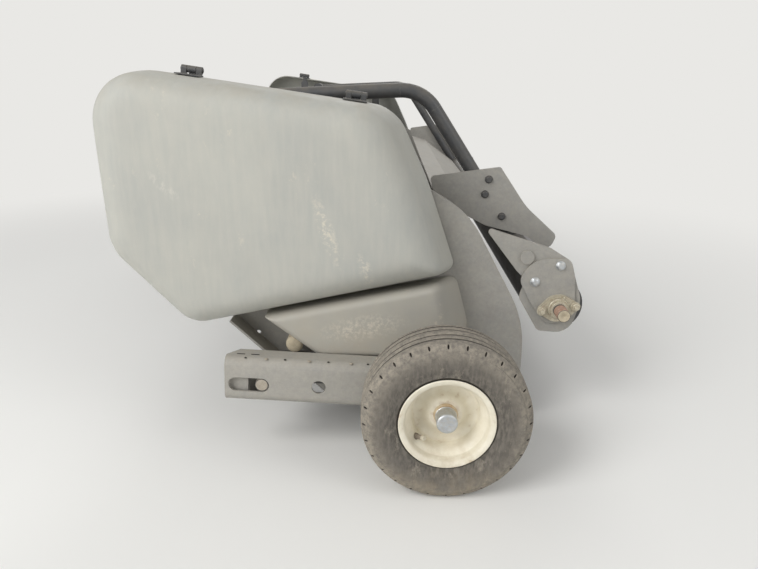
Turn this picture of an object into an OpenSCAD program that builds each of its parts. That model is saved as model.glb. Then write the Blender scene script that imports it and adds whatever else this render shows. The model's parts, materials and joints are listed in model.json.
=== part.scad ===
// Pickup header of a large square baler: a full-width tined reel with stripper
// bands, stub augers, a roller windguard, gauge wheels on arms and moulded end
// covers. +X is the direction of travel, +Y is left, +Z is up. The origin is on
// the pivot axis, midway between the side plates.

/* [Header] */
// Distance across the outer faces of the two side plates
header_w = 2200; // [1800:50:2400]
// Height of the pivot axis above the ground when parked
pivot_h = 700; // [680:5:720]
// Bore of the pivot bosses
pivot_bore_d = 60; // [50:1:70]
// Outside diameter of the pivot bosses
pivot_boss_d = 104; // [90:1:120]
// Length of each pivot boss
pivot_boss_w = 60; // [40:1:80]

/* [Frame] */
// Thickness of the side plates
plate_t = 8; // [6:1:10]
// Diameter of the reel's and augers' bearing housings
housing_d = 104; // [90:1:106]
// Thickness of the bearing housings
housing_t = 14; // [8:1:16]
// Reach of the folded flange on the side plates
plate_flange = 60; // [40:1:70]
// Diameter of the studs between the wheel arms and the lower panels
stud_d = 46; // [40:1:48]
// Reach of those studs out of the side plates
stud_out = 86; // [60:1:100]
// Side of the square main beam
beam_w = 100; // [80:1:110]
// Wall of the main beam
beam_wall = 6; // [4:1:10]
// Outside diameter of the top tube
top_tube_d = 70; // [60:1:80]
// Wall of the top tube
top_tube_wall = 5; // [4:1:8]
// Bore of the lift lugs behind the main beam
lug_bore_d = 30; // [25:1:32]
// Reach of the lift lugs behind the main beam
lug_reach = 40; // [38:1:44]
// Thickness of the crop floor and back sheets
floor_t = 4; // [3:1:5]
// Width of the opening into the baler at the rear
throat_w = 1200; // [1000:10:1300]

/* [Reel] */
// Radius that the tine tips sweep
tine_r = 285; // [275:1:288]
// Diameter of the tine wire
tine_wire_d = 7; // [5:0.5:8]
// Spacing of the tines along the reel
tine_pitch = 70; // [66:1:74]
// Number of tine bars
bar_count = 4; // [3:1:5]
// Outside diameter of a tine bar
bar_d = 34; // [28:1:38]
// Radius of the circle on which the tine bars lie
bar_r = 128; // [115:1:135]
// Outside diameter of the reel tube
reel_tube_d = 60; // [50:1:70]
// Diameter of the reel's journals
reel_journal_d = 40; // [35:1:45]
// Thickness of the spiders that carry the bars
spider_t = 8; // [6:1:10]

/* [Stripper bands] */
// Outer radius of the bands round the reel
band_r = 216; // [212:1:220]
// Thickness of a band
band_t = 4; // [3:1:5]
// Width of the slot between two bands
band_gap = 20; // [18:1:24]
// Side of the square rails that hold the bands
rail_w = 30; // [25:1:34]

/* [Augers] */
// Outside diameter of the auger flights
auger_d = 300; // [280:2:304]
// Outside diameter of the auger tubes
auger_tube_d = 114; // [100:1:130]
// Length of each auger
auger_len = 430; // [380:5:440]
// Pitch of the flights
auger_pitch = 280; // [240:5:320]
// Thickness of the flights
flight_t = 5; // [4:1:6]
// Diameter of the auger journals
auger_journal_d = 35; // [30:1:40]

/* [Windguard] */
// Outside diameter of the bent lift tubes
lift_tube_d = 40; // [36:1:42]
// Outside diameter of the windguard cross tube
cross_tube_d = 60; // [50:1:62]
// Thickness of the cheek and roller plates
cheek_t = 6; // [5:1:8]
// Diameter of the bosses that close the windguard's cross tube
guard_boss_d = 38; // [30:1:44]
// Diameter of the windguard hinge pins
guard_pin_d = 25; // [20:1:30]
// Outside diameter of the guard roller
roller_d = 150; // [130:1:156]
// Diameter of the roller's shaft
roller_shaft_d = 34; // [30:1:38]
// Highest lift of the windguard, in degrees
guard_lift = 30; // [20:1:35]

/* [Gauge wheels] */
// Outside diameter of the tyres
tyre_d = 406; // [390:2:420]
// Width of the tyres
tyre_w = 160; // [150:2:164]
// Diameter of the rim's bead seats
rim_d = 203; // [198:1:208]
// Distance of the wheels' mid-planes outboard of the side plates
wheel_out = 300; // [298:1:310]
// Distance of the wheel axle forward of the pivot axis
wheel_x = 650; // [640:2:660]
// Height of the wheel-arm channel
arm_h = 120; // [110:1:124]
// Depth of the wheel-arm channel's flanges
arm_flange = 65; // [55:1:66]
// Thickness of the wheel-arm channel
arm_t = 6; // [5:1:8]
// Outer radius of the wheel-arm channel's bends
arm_bend = 24; // [16:1:26]
// Slope of the wheel arms down to the wheels when parked, in degrees
arm_slope = 3; // [2:0.5:4]
// Diameter of the wheel-arm pivot pins
arm_pin_d = 34; // [30:1:36]
// Thickness of the wheel-arm brackets
bracket_t = 10; // [8:1:12]
// Diameter of the height bolts
bolt_d = 16; // [14:1:20]
// Radius of the height bolts' slots about the arm pivots
bolt_r = 330; // [320:1:340]
// Diameter of the wheel axles
axle_d = 25; // [25:1:30]

/* [End covers] */
// Depth of the moulded end covers
cover_depth = 142; // [130:1:145]
// Wall of the moulded covers and panels
cover_wall = 5; // [4:0.5:6]
// Depth of the moulded lower panels
panel_depth = 130; // [126:1:132]
// Gap between the end covers and the side plates
cover_gap = 8; // [7:1:10]
// Diameter of the cover hinge pins
cover_pin_d = 10; // [8:1:12]

/* [Hidden] */
SIDES = ["R", "L"];
$fn = 48;
// Play between a journal or pin and its bore, on the radius
run_fit = 0.05;
// Gap that keeps neighbouring moving pieces apart
clear = 0.3;

ground_z = -pivot_h;
plate_y = header_w / 2;
inner_y = plate_y - plate_t;

// Places in the XZ plane of the side plates
reel_c = [590, -380];
auger_c = [330, 5];
top_tube_c = [120, 110];
guard_hinge_c = [120, 215];
cross_tube_c = [888, -197];
roller_c = [980, -339];
arm_pivot_c = [188, -487];
wheel_c = [wheel_x, ground_z + tyre_d / 2];
stud_c = [258, -424];
beam_c = [200, reel_c[1] + band_r - band_t - beam_w / 2];

// Places and thickness of the stays that carry the end covers
STAY_X = [20, 430];
stay_t = 6;
// Height of the hinge pins over the covers, and half the width of the stays' heads
hinge_rise = 14;
stay_head = 8;
// Angle of the height bolts about the arm pivots
bolt_a = -2;

cover_y = plate_y + cover_gap;
cover_face_y = cover_y + cover_depth;
arm_y = plate_y + 200;
bracket_y = plate_y + plate_flange;
wheel_y = plate_y + wheel_out;
cheek_y = plate_y - 140;
lift_y = cheek_y - cheek_t - lift_tube_d / 2;

// Columns: x, z, corner radius
SIDE_PLATE = [[-110, 80, 70], [120, 170, 90], [400, 119, 120], [727, -77, 260],
    [892, -382, 330], [892, -625, 60], [349, -625, 30], [-90, -203, 80]];
// Columns: x, z, corner radius
CHEEK = [[628, 1, 12], [827, 27, 8], [905, -85, 200], [1000, -170, 18], [980, -215, 20],
    [911, -172, 12], [790, -140, 30], [645, -66, 20]];
// Columns: x, z, corner radius
ROLLER_PLATE = [[766, -112, 8], [950, -172, 60], [1008, -208, 30], [1045, -320, 60],
    [1020, -418, 50], [930, -410, 20], [872, -312, 30], [888, -262, 25], [862, -236, 25]];
// Columns: x, z, corner radius, then how far the corner has moved in x and z at the outer face
COVER = [[-212, 305, 130, 0, 0], [530, 196, 105, -45, 6.6], [614, 14, 500, -50, 0], [697, -232, 30, -50, 18],
    [-7, -362, 80, 0, 0], [-203, -153, 110, 0, 0]];
// Columns: x, z, corner radius, then how far the corner has moved in x and z at the outer face
PANEL = [[178, -341, 6, 0, 12], [697, -246, 26, -60, 10], [752, -446, 60, -60, 0], [330, -446, 50, 0, 0]];
// Columns: distance out of the side plate, how far the outline has drawn in
COVER_SECTIONS = [[0, 0], [60, 2], [100, 8], [cover_depth - 20, 22], [cover_depth - 6, 44], [cover_depth, 78]];
// Columns: distance out of the side plate, how far the outline has drawn in
PANEL_SECTIONS = [[0, 0], [70, 0], [panel_depth - 22, 3], [panel_depth - 6, 9], [panel_depth, 22]];

// Point at radius r and angle a about c
function polar(c, r, a) = c + r * [cos(a), sin(a)];
// Unit vector from p to q
function unit(p, q) = (q - p) / norm(q - p);
// Arc that rounds corner p, between neighbours a and b, to radius r in n steps
function corner_arc(a, p, b, r, n) =
    let (u = unit(p, a), v = unit(p, b), half = acos(u * v) / 2,
        c = p + (u + v) / norm(u + v) * r / sin(half),
        s = p + u * r / tan(half) - c, e = p + v * r / tan(half) - c,
        turn = (s[0] * e[1] - s[1] * e[0] > 0 ? 1 : -1) * (180 - 2 * half),
        start = atan2(s[1], s[0]))
    [for (i = [0:n]) polar(c, r, start + turn * i / n)];
// Outline through the corners of a table of x, z and radius
function rounded(table, n = 6) =
    let (k = len(table), p = [for (t = table) [t[0], t[1]]])
    [for (i = [0:k - 1]) each corner_arc(p[(i + k - 1) % k], p[i], p[(i + 1) % k], table[i][2], n)];
// Clockwise outline's corner table moved inwards by d, no radius under r_min
function inset(table, d, r_min) =
    let (k = len(table), p = [for (t = table) [t[0], t[1]]])
    [for (i = [0:k - 1])
        let (u = unit(p[(i + k - 1) % k], p[i]), v = unit(p[i], p[(i + 1) % k]),
            inwards = unit([0, 0], [u[1] + v[1], -u[0] - v[0]]),
            q = p[i] + inwards * d / (inwards * [v[1], -v[0]]))
        [q[0], q[1], max(table[i][2] - d, r_min)]];

// Draws the right-hand piece, or its mirror image on the left
module on_side(side) {
    if (side == "L") mirror([0, 1, 0]) children();
    else children();
}

// Plate of a 2D outline in XZ, from distance y outwards by t, on the right
module slab(y, t) {
    translate([0, -y, 0]) rotate([90, 0, 0]) linear_extrude(t) children();
}

// Round bar along Y from distance y outwards by len, about c, on the right
module bar(c, y, len, d) {
    translate([c[0], -y, c[1]]) rotate([90, 0, 0]) cylinder(h = len, d = d);
}

// Round bar along Y over the whole width w, about c
module cross_bar(c, w, d) {
    bar(c, -w / 2, w, d);
}

// Corner table moved by a share of the way to the outer face
function drawn(table, share) = [for (t = table) [t[0] + share * t[3], t[1] + share * t[4], t[2]]];

// Shell lofted through inset outlines, from distance y0 outwards, no corner radius under tight
module moulded_shell(table, sections, wall, y0, tight) {
    n = 7;
    last = len(sections) - 1;
    depth = sections[last][0];
    rings = [for (s = sections) [s[0], rounded(inset(drawn(table, s[0] / depth), s[1], tight), n)]];
    inner = [for (s = sections)
        [s[0] - (s[0] > depth - wall ? wall : 0), rounded(inset(drawn(table, s[0] / depth), s[1] + wall, tight - 4), n)]];
    m = len(rings[0][1]);
    k = len(sections);
    points = concat(
        [for (r = rings) each [for (p = r[1]) [p[0], -y0 - r[0], p[1]]]],
        [for (r = inner) each [for (p = r[1]) [p[0], -y0 - r[0], p[1]]]]);
    // Two triangles of the wall between ring j and the next, at corner i
    wall_pair = function (j, i) let (a = j * m + i, b = j * m + (i + 1) % m) [[a, b, b + m], [a, b + m, a + m]];
    flip = function (f) [for (i = [len(f) - 1:-1:0]) f[i]];
    lift = function (f) [for (v = f) v + k * m];
    faces = concat(
        [for (j = [0:k - 2]) for (i = [0:m - 1]) for (f = wall_pair(j, i)) flip(f)],
        [for (j = [0:k - 2]) for (i = [0:m - 1]) for (f = wall_pair(j, i)) lift(f)],
        [flip([for (i = [0:m - 1]) (k - 1) * m + i])],
        [lift([for (i = [0:m - 1]) (k - 1) * m + i])],
        [for (i = [0:m - 1]) each let (a = i, b = (i + 1) % m) [[a, b, b + k * m], [a, b + k * m, a + k * m]]]);
    polyhedron(points = points, faces = faces, convexity = 6);
}

module main_beam() {
    color("dimgray") translate([beam_c[0], 0, beam_c[1]]) rotate([90, 0, 0]) {
        difference() {
            cube([beam_w, beam_w, 2 * inner_y], center = true);
            cube([beam_w - 2 * beam_wall, beam_w - 2 * beam_wall, 2 * inner_y + 2], center = true);
        }
    }
    color("dimgray") for (side = SIDES) on_side(side) for (y = [460, 520]) slab(y, 12) lift_lug_2d();
}

// Lug behind the main beam for a lift cylinder's pin
module lift_lug_2d() {
    back = beam_c[0] - beam_w / 2;
    difference() {
        union() {
            translate([back - lug_reach, beam_c[1]]) circle(d = 64);
            translate([back - lug_reach, beam_c[1] - 32]) square([lug_reach, 64]);
        }
        translate([back - lug_reach, beam_c[1]]) circle(d = lug_bore_d);
    }
}

module top_tube() {
    color("dimgray") difference() {
        cross_bar(top_tube_c, 2 * inner_y, top_tube_d);
        cross_bar(top_tube_c, 2 * inner_y + 2, top_tube_d - 2 * top_tube_wall);
    }
    for (side = SIDES) on_side(side) {
        color("dimgray") for (y = [lift_y - 46, lift_y + 36]) slab(y, 10) difference() {
            union() {
                translate(guard_hinge_c) circle(d = 56);
                translate([guard_hinge_c[0] - 28, top_tube_c[1]]) square([56, guard_hinge_c[1] - top_tube_c[1]]);
            }
            translate(top_tube_c) circle(d = top_tube_d);
            translate(guard_hinge_c) circle(d = guard_pin_d);
        }
        color("silver") bar(guard_hinge_c, lift_y - 52, 104, guard_pin_d);
    }
}

module crop_floor() {
    z = beam_c[1] + beam_w / 2;
    color("gray") slab(-inner_y, 2 * inner_y) polygon([[297, z], [297, z + floor_t], [100, z + floor_t],
        [60, z - 36], [60, z - 42], [64, z - 42], [102, z]]);
}

// U-shaped profile of one stripper band
module band_2d() {
    difference() {
        union() {
            translate(reel_c) circle(r = band_r, $fn = 96);
            translate([300, reel_c[1] - band_r]) square([reel_c[0] - 300, 2 * band_r]);
        }
        translate(reel_c) circle(r = band_r - band_t, $fn = 96);
        translate([290, reel_c[1] - band_r + band_t]) square([reel_c[0] - 290, 2 * (band_r - band_t)]);
    }
}

module stripper_bands() {
    half = floor((inner_y - 10) / tine_pitch);
    color("gray") for (i = [-half:half]) translate([0, i * tine_pitch, 0])
        slab(-(tine_pitch - band_gap) / 2, tine_pitch - band_gap) band_2d();
    // Rails under the upper ends and over the lower ends of the bands
    top = reel_c[1] + band_r - band_t;
    low = reel_c[1] - band_r + band_t;
    color("dimgray") slab(-inner_y, 2 * inner_y) {
        polygon([[300, top], [300 + rail_w, top], [300 + rail_w, top - rail_w], [300, top - rail_w]]);
        polygon([[325, low], [325 + rail_w, low], [325 + rail_w, low + rail_w], [325, low + rail_w]]);
    }
}

module side_plate() {
    rear = [for (x = [80, 290]) [x, -384 - (x - 98) * 0.961]];
    color("gray") difference() {
        union() {
            slab(inner_y, plate_t) polygon(rounded(SIDE_PLATE, 8));
            slab(inner_y, plate_t + plate_flange) polygon([rear[0], rear[1], rear[1] + [4.2, 4.3], rear[0] + [4.2, 4.3]]);
            bar([0, 0], plate_y - 20, pivot_boss_w, pivot_boss_d);
            for (c = [reel_c, auger_c]) bar(c, plate_y, housing_t, housing_d);
            stud();
        }
        bar([146, -420], inner_y - 1, plate_t + 2, 12);
        bar([0, 0], plate_y - 21, pivot_boss_w + 2, pivot_bore_d);
        bar(reel_c, inner_y - 1, plate_t + housing_t + 2, reel_journal_d + 2 * run_fit);
        bar(auger_c, inner_y - 1, plate_t + housing_t + 2, auger_journal_d + 2 * run_fit);
    }
}

// Round stud with a domed end, between the wheel arm and the lower panel
module stud() {
    r = stud_d / 2;
    straight = stud_out - r / 2;
    translate([stud_c[0], -plate_y, stud_c[1]]) rotate([90, 0, 0]) rotate_extrude()
        polygon(concat([[0, 0], [r, 0]], [for (a = [0:15:75]) [r * cos(a), straight + r / 2 * sin(a)]], [[0, stud_out]]));
}

// Curved sheet behind an auger, from the side plate to the throat
module back_sheet() {
    r = auger_c[1] - beam_c[1] - beam_w / 2 - 2 * floor_t;
    color("gray") slab(throat_w / 2, inner_y - throat_w / 2) difference() {
        intersection() {
            translate(auger_c) circle(r = r + floor_t, $fn = 96);
            translate([auger_c[0] - 200, auger_c[1] - 200]) square([200, 250]);
        }
        translate(auger_c) circle(r = r, $fn = 96);
    }
}

module lower_panel() {
    color("gray") moulded_shell(PANEL, PANEL_SECTIONS, cover_wall, plate_y, 6);
}

// Slope of the cover's top edge, in degrees
function hinge_slope() = atan2(COVER[1][1] - COVER[0][1], COVER[1][0] - COVER[0][0]);
// Point on the cover hinge line at x, above the cover's top edge
function hinge_at(x) = [x, COVER[0][1] + tan(hinge_slope()) * (x - COVER[0][0])
    + hinge_rise / cos(hinge_slope())];

// Upright flats on the side plate that carry the cover's hinge
module cover_stays() {
    for (x = STAY_X) {
        p = hinge_at(x);
        color("dimgray") difference() {
            union() {
                slab(plate_y, stay_t) translate(p) polygon([[-20, -210], [20, -210], [20, -40], [stay_head, -20],
                    [stay_head, 0], [-stay_head, 0], [-stay_head, -20], [-20, -40]]);
                hinge_barrel(x, -11, 22, 18);
            }
            hinge_barrel(x, -40, 80, cover_pin_d + 2 * run_fit);
        }
    }
}

// Round bar of diameter d on the hinge line, from a to a + len along it
module hinge_barrel(x, a, len, d) {
    p = hinge_at(x);
    translate([p[0], -plate_y - stay_t / 2, p[1]]) rotate([0, 90 - hinge_slope(), 0]) translate([0, 0, a])
        cylinder(h = len, d = d);
}

module arm_bracket() {
    color("dimgray") difference() {
        union() {
            slab(bracket_y, bracket_t) polygon(rounded([[130, -450, 15], [570, -450, 15], [570, -590, 25],
                [460, -590, 25], [410, -545, 40], [130, -545, 25]], 5));
            for (x = [310, 440]) slab(plate_y, plate_flange) translate([x, -540]) square([bracket_t, 88]);
        }
        bar(arm_pivot_c, bracket_y - 1, bracket_t + 2, arm_pin_d);
        arc_slot(bolt_d + 3);
    }
    color("darkgray") bar(arm_pivot_c, bracket_y, arm_y - bracket_y - 2, arm_pin_d);
}

// Slot round the arm pivot in which the height bolt travels
module arc_slot(w) {
    slab(bracket_y - 1, bracket_t + 2) translate(arm_pivot_c) intersection() {
        difference() {
            circle(r = bolt_r + w / 2, $fn = 120);
            circle(r = bolt_r - w / 2, $fn = 120);
        }
        polygon([[0, 0], polar([0, 0], 2 * bolt_r, bolt_a - 12), polar([0, 0], 2 * bolt_r, bolt_a + 7)]);
    }
}

module reel_core() {
    // Spiders stand at odd pitches, between two double tines
    outer = 2 * floor((floor((inner_y - 10) / tine_pitch) + 1) / 2) - 1;
    stations = [for (share = [0.2, 0.6, 1]) 2 * floor(share * outer / 2) + 1];
    color("dimgray") {
        cross_bar(reel_c, 2 * inner_y - 10, reel_tube_d);
        cross_bar(reel_c, 2 * plate_y + 50, reel_journal_d);
        for (i = [0:bar_count - 1]) cross_bar(polar(reel_c, bar_r, 45 + i * 360 / bar_count), 2 * inner_y - 40, bar_d);
        for (s = stations) for (side = SIDES) on_side(side) slab(s * tine_pitch - spider_t / 2, spider_t) spider_2d();
    }
}

// Arms from the reel tube to every tine bar
module spider_2d() {
    for (i = [0:bar_count - 1]) translate(reel_c) rotate(45 + i * 360 / bar_count) {
        translate([0, -20]) square([bar_r, 40]);
        translate([bar_r, 0]) circle(r = 24);
    }
    translate(reel_c) circle(r = 55);
}

module reel_tines() {
    half = floor((inner_y - 10) / tine_pitch / 2);
    color("silver") for (i = [0:bar_count - 1]) for (j = [-half:half])
        translate([reel_c[0], j * 2 * tine_pitch, reel_c[1]]) rotate([0, -45 - i * 360 / bar_count, 0]) double_tine();
}

// Two coils round the bar with their fingers and the bridge between them, for a bar on the +X axis
module double_tine() {
    coil_w = 3 * tine_wire_d;
    coil_y = (tine_pitch + tine_wire_d) / 2 - coil_w;
    // The wire runs clear of the bar, so the fingers leave the coils sideways
    off = bar_d / 2 + 0.4 + tine_wire_d / 2;
    for (side = SIDES) on_side(side) {
        difference() {
            bar([bar_r, 0], coil_y, coil_w, bar_d + 2 * tine_wire_d + 2);
            bar([bar_r, 0], coil_y - 1, coil_w + 2, bar_d + 0.4);
        }
        translate([bar_r, -tine_pitch / 2, off]) rotate([0, 90, 0])
            cylinder(h = tine_r - bar_r - 4, d = tine_wire_d, $fn = 6);
    }
    translate([bar_r, 0, -off]) rotate([90, 0, 0]) cylinder(h = 2 * coil_y + 4, d = tine_wire_d, $fn = 6, center = true);
}

module auger() {
    y0 = inner_y - 12 - auger_len;
    color("gray") {
        bar(auger_c, y0, auger_len, auger_tube_d);
        bar(auger_c, y0 + 20, inner_y - y0 + 12, auger_journal_d);
        flight(y0);
    }
}

// Helical flight about the auger's axis, starting at distance y0
module flight(y0) {
    steps = 40;
    r0 = auger_tube_d / 2 - 2;
    r1 = auger_d / 2;
    travel = auger_len - flight_t;
    turn = 360 * travel / auger_pitch;
    points = [for (i = [0:steps]) let (a = turn * i / steps, y = -y0 - travel * i / steps)
        each [[auger_c[0] + r0 * cos(a), y, auger_c[1] + r0 * sin(a)],
            [auger_c[0] + r1 * cos(a), y, auger_c[1] + r1 * sin(a)],
            [auger_c[0] + r1 * cos(a), y - flight_t, auger_c[1] + r1 * sin(a)],
            [auger_c[0] + r0 * cos(a), y - flight_t, auger_c[1] + r0 * sin(a)]]];
    faces = concat([[3, 2, 1, 0]],
        [for (i = [0:steps - 1]) for (k = [0:3]) let (a = 4 * i + k, b = 4 * i + (k + 1) % 4)
            each [[a, b, b + 4], [a, b + 4, a + 4]]],
        [[4 * steps, 4 * steps + 1, 4 * steps + 2, 4 * steps + 3]]);
    polyhedron(points = points, faces = faces, convexity = 8);
}

module windguard_tube() {
    color("dimgray") cross_bar(cross_tube_c, 2 * (plate_y - cheek_t), cross_tube_d);
}

module crop_guide() {
    half = lift_y - lift_tube_d / 2 - 5;
    color("gray") slab(-half, 2 * half) difference() {
        polygon([for (p = [[0, 0], [3, 4], [-176, 139], [-248, 157], [-249, 153], [-178, 135]]) cross_tube_c + p]);
        translate(cross_tube_c) circle(d = cross_tube_d);
    }
}

// Bent tube from the hinge eye forward and down to the cross tube
module lift_tube() {
    r = 110;
    knee = [604, 236];
    up = unit(knee, guard_hinge_c);
    down = unit(knee, cross_tube_c);
    half = acos(up * down) / 2;
    bend = corner_arc(guard_hinge_c, knee, cross_tube_c, r, 9);
    path = concat([guard_hinge_c - up * (guard_pin_d / 2 + 6)], bend, [cross_tube_c]);
    color("dimgray") difference() {
        union() {
            bar(guard_hinge_c, lift_y - 30, 60, guard_pin_d + 30);
            bent_tube(path, lift_y, lift_tube_d / 2);
        }
        bar(guard_hinge_c, lift_y - 31, 62, guard_pin_d + 2 * run_fit);
        bar(cross_tube_c, lift_y - 40, 80, cross_tube_d);
    }
}

// Round tube along a path in XZ, with a ring square to the path at each point
module bent_tube(path, y, r) {
    n = 20;
    k = len(path);
    points = [for (i = [0:k - 1])
        let (d = unit(path[max(i - 1, 0)], path[min(i + 1, k - 1)]))
        for (a = [0:n - 1]) let (u = r * cos(360 * a / n), v = r * sin(360 * a / n))
        [path[i][0] - d[1] * u, -y + v, path[i][1] + d[0] * u]];
    faces = concat([[for (a = [n - 1:-1:0]) a]],
        [for (i = [0:k - 2]) for (a = [0:n - 1])
            [i * n + (a + 1) % n, (i + 1) * n + (a + 1) % n, (i + 1) * n + a, i * n + a]],
        [[for (a = [0:n - 1]) (k - 1) * n + a]]);
    polyhedron(points = points, faces = faces, convexity = 4);
}

module cheek_plate() {
    color("gray") slab(cheek_y - cheek_t, cheek_t) difference() {
        polygon(rounded(CHEEK, 5));
        translate(cross_tube_c) circle(d = cross_tube_d);
    }
}

module roller_plate() {
    color("gray") difference() {
        union() {
            slab(plate_y - cheek_t, cheek_t) polygon(rounded(ROLLER_PLATE, 5));
            bar(cross_tube_c, plate_y, cheek_t, guard_boss_d);
        }
        bar(roller_c, plate_y - cheek_t - 1, cheek_t + 2, roller_shaft_d + 12);
    }
}

// Plate bolted to the roller plate that holds the bearing
module bearing_plate() {
    color("gray") slab(plate_y, cheek_t) difference() {
        bearing_plate_2d();
        translate(roller_c) circle(d = roller_shaft_d + 12);
    }
}

// Round-headed outline of the bearing plate
module bearing_plate_2d() {
    polygon(rounded([[871, -262, 30], [900, -202, 70], [1006, -199, 26], [1021, -250, 60], [1032, -372, 40],
        [950, -392, 40], [900, -318, 60]], 8));
}

module roller_bearing() {
    tilt = 8;
    color("khaki") slab(plate_y + cheek_t, 12) difference() {
        union() {
            translate(roller_c) circle(r = 32);
            translate(roller_c) rotate(tilt) for (x = [-45, 45]) translate([x, 0]) circle(r = 16);
            translate(roller_c) rotate(tilt) square([90, 32], center = true);
        }
        translate(roller_c) circle(d = roller_shaft_d + 2 * run_fit);
    }
}

module guard_roller() {
    color("dimgray") {
        difference() {
            cross_bar(roller_c, 2 * (plate_y - cheek_t - 12), roller_d);
            cross_bar(roller_c, 2 * (plate_y - cheek_t - 24), roller_d - 12);
        }
        cross_bar(roller_c, 2 * (plate_y + 78), roller_shaft_d);
    }
}

// Channel section with bent corners: web at u = 0, flanges towards +u, height along v
module channel_2d(w, h, t, r) {
    outer = [[w, 0], [0, 0], [0, h], [w, h]];
    inner = [[w, h - t], [t, h - t], [t, t], [w, t]];
    polygon(concat([outer[0]], corner_arc(outer[0], outer[1], outer[2], r, 6),
        corner_arc(outer[1], outer[2], outer[3], r, 6), [outer[3], inner[0]],
        corner_arc(inner[0], inner[1], inner[2], r - t, 6), corner_arc(inner[1], inner[2], inner[3], r - t, 6), [inner[3]]));
}

module wheel_arm() {
    // Places counted from the arm's pivot, along the arm and square to it
    rear = -95;
    low = -50;
    slot_rear = -66;
    mouth_y = arm_y - arm_flange;
    along = wheel_c[0] - arm_pivot_c[0] + 60 - rear;
    color("gray") difference() {
        translate([arm_pivot_c[0], 0, arm_pivot_c[1]]) rotate([0, arm_slope, 0]) difference() {
            union() {
                translate([rear, -arm_y, low]) rotate([90, 0, 90]) linear_extrude(along)
                    channel_2d(arm_flange, arm_h, arm_t, arm_bend);
                // Plate across the flanges that carries the pivot, and a stiffener behind the slot
                translate([-60, -mouth_y - 10, low + arm_t - 1]) cube([150, 10, arm_h - 2 * arm_t + 2]);
                translate([rear, -arm_y + 14, low + arm_t - 1]) cube([58, 6, arm_h - 2 * arm_t + 2]);
            }
            // Lozenge slot and round hole in the web
            slab(arm_y - arm_t - 1, arm_t + 2) {
                for (x = [slot_rear, 0]) translate([x, 0]) circle(d = 38);
                translate([slot_rear, -19]) square([-slot_rear, 38]);
                translate([147, 3]) circle(d = 36);
            }
            // Cut corner of the upper flange
            translate([rear, -arm_y, low + arm_h - arm_bend]) linear_extrude(arm_bend + 1)
                polygon([[-1, 29], [0, 29], [28, arm_flange], [28, arm_flange + 1], [-1, arm_flange + 1]]);
        }
        bar(arm_pivot_c, mouth_y - 1, 12, arm_pin_d + 2 * run_fit);
    }
    color("silver") {
        bar(wheel_c, arm_y, 14, 90);
        bar(wheel_c, arm_y, wheel_y - 60.5 - arm_y, 40);
        bar(wheel_c, arm_y - arm_t, wheel_y + 40 - arm_y + arm_t, axle_d);
        bar(polar(arm_pivot_c, bolt_r, bolt_a), bracket_y - 4, arm_y - bracket_y + 4 - arm_t, bolt_d);
    }
}

// Puts a wheel piece, drawn about +Z with its outer face up, on its axle
module at_wheel() {
    translate([wheel_c[0], -wheel_y, wheel_c[1]]) rotate([90, 0, 0]) children();
}

module wheel_tyre() {
    r = tyre_d / 2;
    b = rim_d / 2 + clear;
    w = tyre_w / 2;
    color("darkslategray") at_wheel() rotate_extrude($fn = 96) polygon([
        [b, 64], [b + 14, 68], [b + 34, 77], [b + 60, w], [r - 22, 76], [r - 10, 68], [r - 3, 56], [r - 1, 40],
        [r - 1, 34], [r - 8, 33], [r - 8, 29], [r, 28], [r, 6], [r - 8, 5], [r - 8, -5], [r, -6],
        [r, -28], [r - 8, -29], [r - 8, -33], [r - 1, -34], [r - 1, -40], [r - 3, -56], [r - 10, -68],
        [r - 22, -76], [b + 60, -w], [b + 34, -77], [b + 14, -68], [b, -64],
        [b, -52], [b + 14, -58], [b + 34, -66], [b + 60, -68], [r - 24, -62], [r - 14, -40], [r - 13, 0],
        [r - 14, 40], [r - 24, 62], [b + 60, 68], [b + 34, 66], [b + 14, 58], [b, 52]]);
}

module wheel_rim() {
    b = rim_d / 2;
    color("ivory") at_wheel() rotate_extrude($fn = 96) polygon([
        [b, 50], [b, 66], [b + 11, 70], [b + 13, 74], [b + 10, 76], [b - 3, 72], [b - 5, 50], [b - 18, 30],
        [b - 20, 6], [60, 4], [48, 12], [40, 26], [32, 30], [30, 30], [30, 26], [36, 22], [44, 8], [58, 0],
        [b - 20, 0], [b - 22, -30], [b - 5, -50], [b - 3, -72], [b + 10, -76], [b + 13, -74], [b + 11, -70],
        [b, -66], [b, -50], [b - 16, -30], [b - 14, 28]]);
}

module wheel_hub() {
    color("silver") at_wheel() rotate_extrude() polygon([
        [axle_d / 2 + run_fit, -60], [30, -60], [30, 44], [24, 48], [22, 58], [0, 62], [0, 46], [axle_d / 2 + run_fit, 46]]);
}

module end_cover() {
    color("gray") moulded_shell(COVER, COVER_SECTIONS, cover_wall, cover_y, 14);
}

// Leaf on the cover's top wall, with a pin and two knuckles on the hinge line
module cover_hinge() {
    for (x = STAY_X) {
        p = hinge_at(x);
        color("silver") {
            hinge_barrel(x, -28, 56, cover_pin_d);
            for (a = [-26, 12]) hinge_barrel(x, a, 14, 18);
            translate([p[0], -plate_y - stay_t / 2, p[1]]) rotate([0, -hinge_slope(), 0]) {
                translate([-30, -48, -hinge_rise]) cube([60, 48 - cover_gap + stay_t / 2, 3]);
                for (a = [-26, 12]) translate([a, -9, -hinge_rise]) cube([14, 9, hinge_rise]);
            }
        }
    }
}

main_beam();
top_tube();
crop_floor();
stripper_bands();
reel_core();
reel_tines();
windguard_tube();
crop_guide();
guard_roller();
for (side = SIDES) on_side(side) {
    side_plate();
    back_sheet();
    lower_panel();
    cover_stays();
    arm_bracket();
    auger();
    lift_tube();
    cheek_plate();
    roller_plate();
    bearing_plate();
    roller_bearing();
    wheel_arm();
    wheel_rim();
    wheel_tyre();
    wheel_hub();
    end_cover();
    cover_hinge();
}
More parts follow.
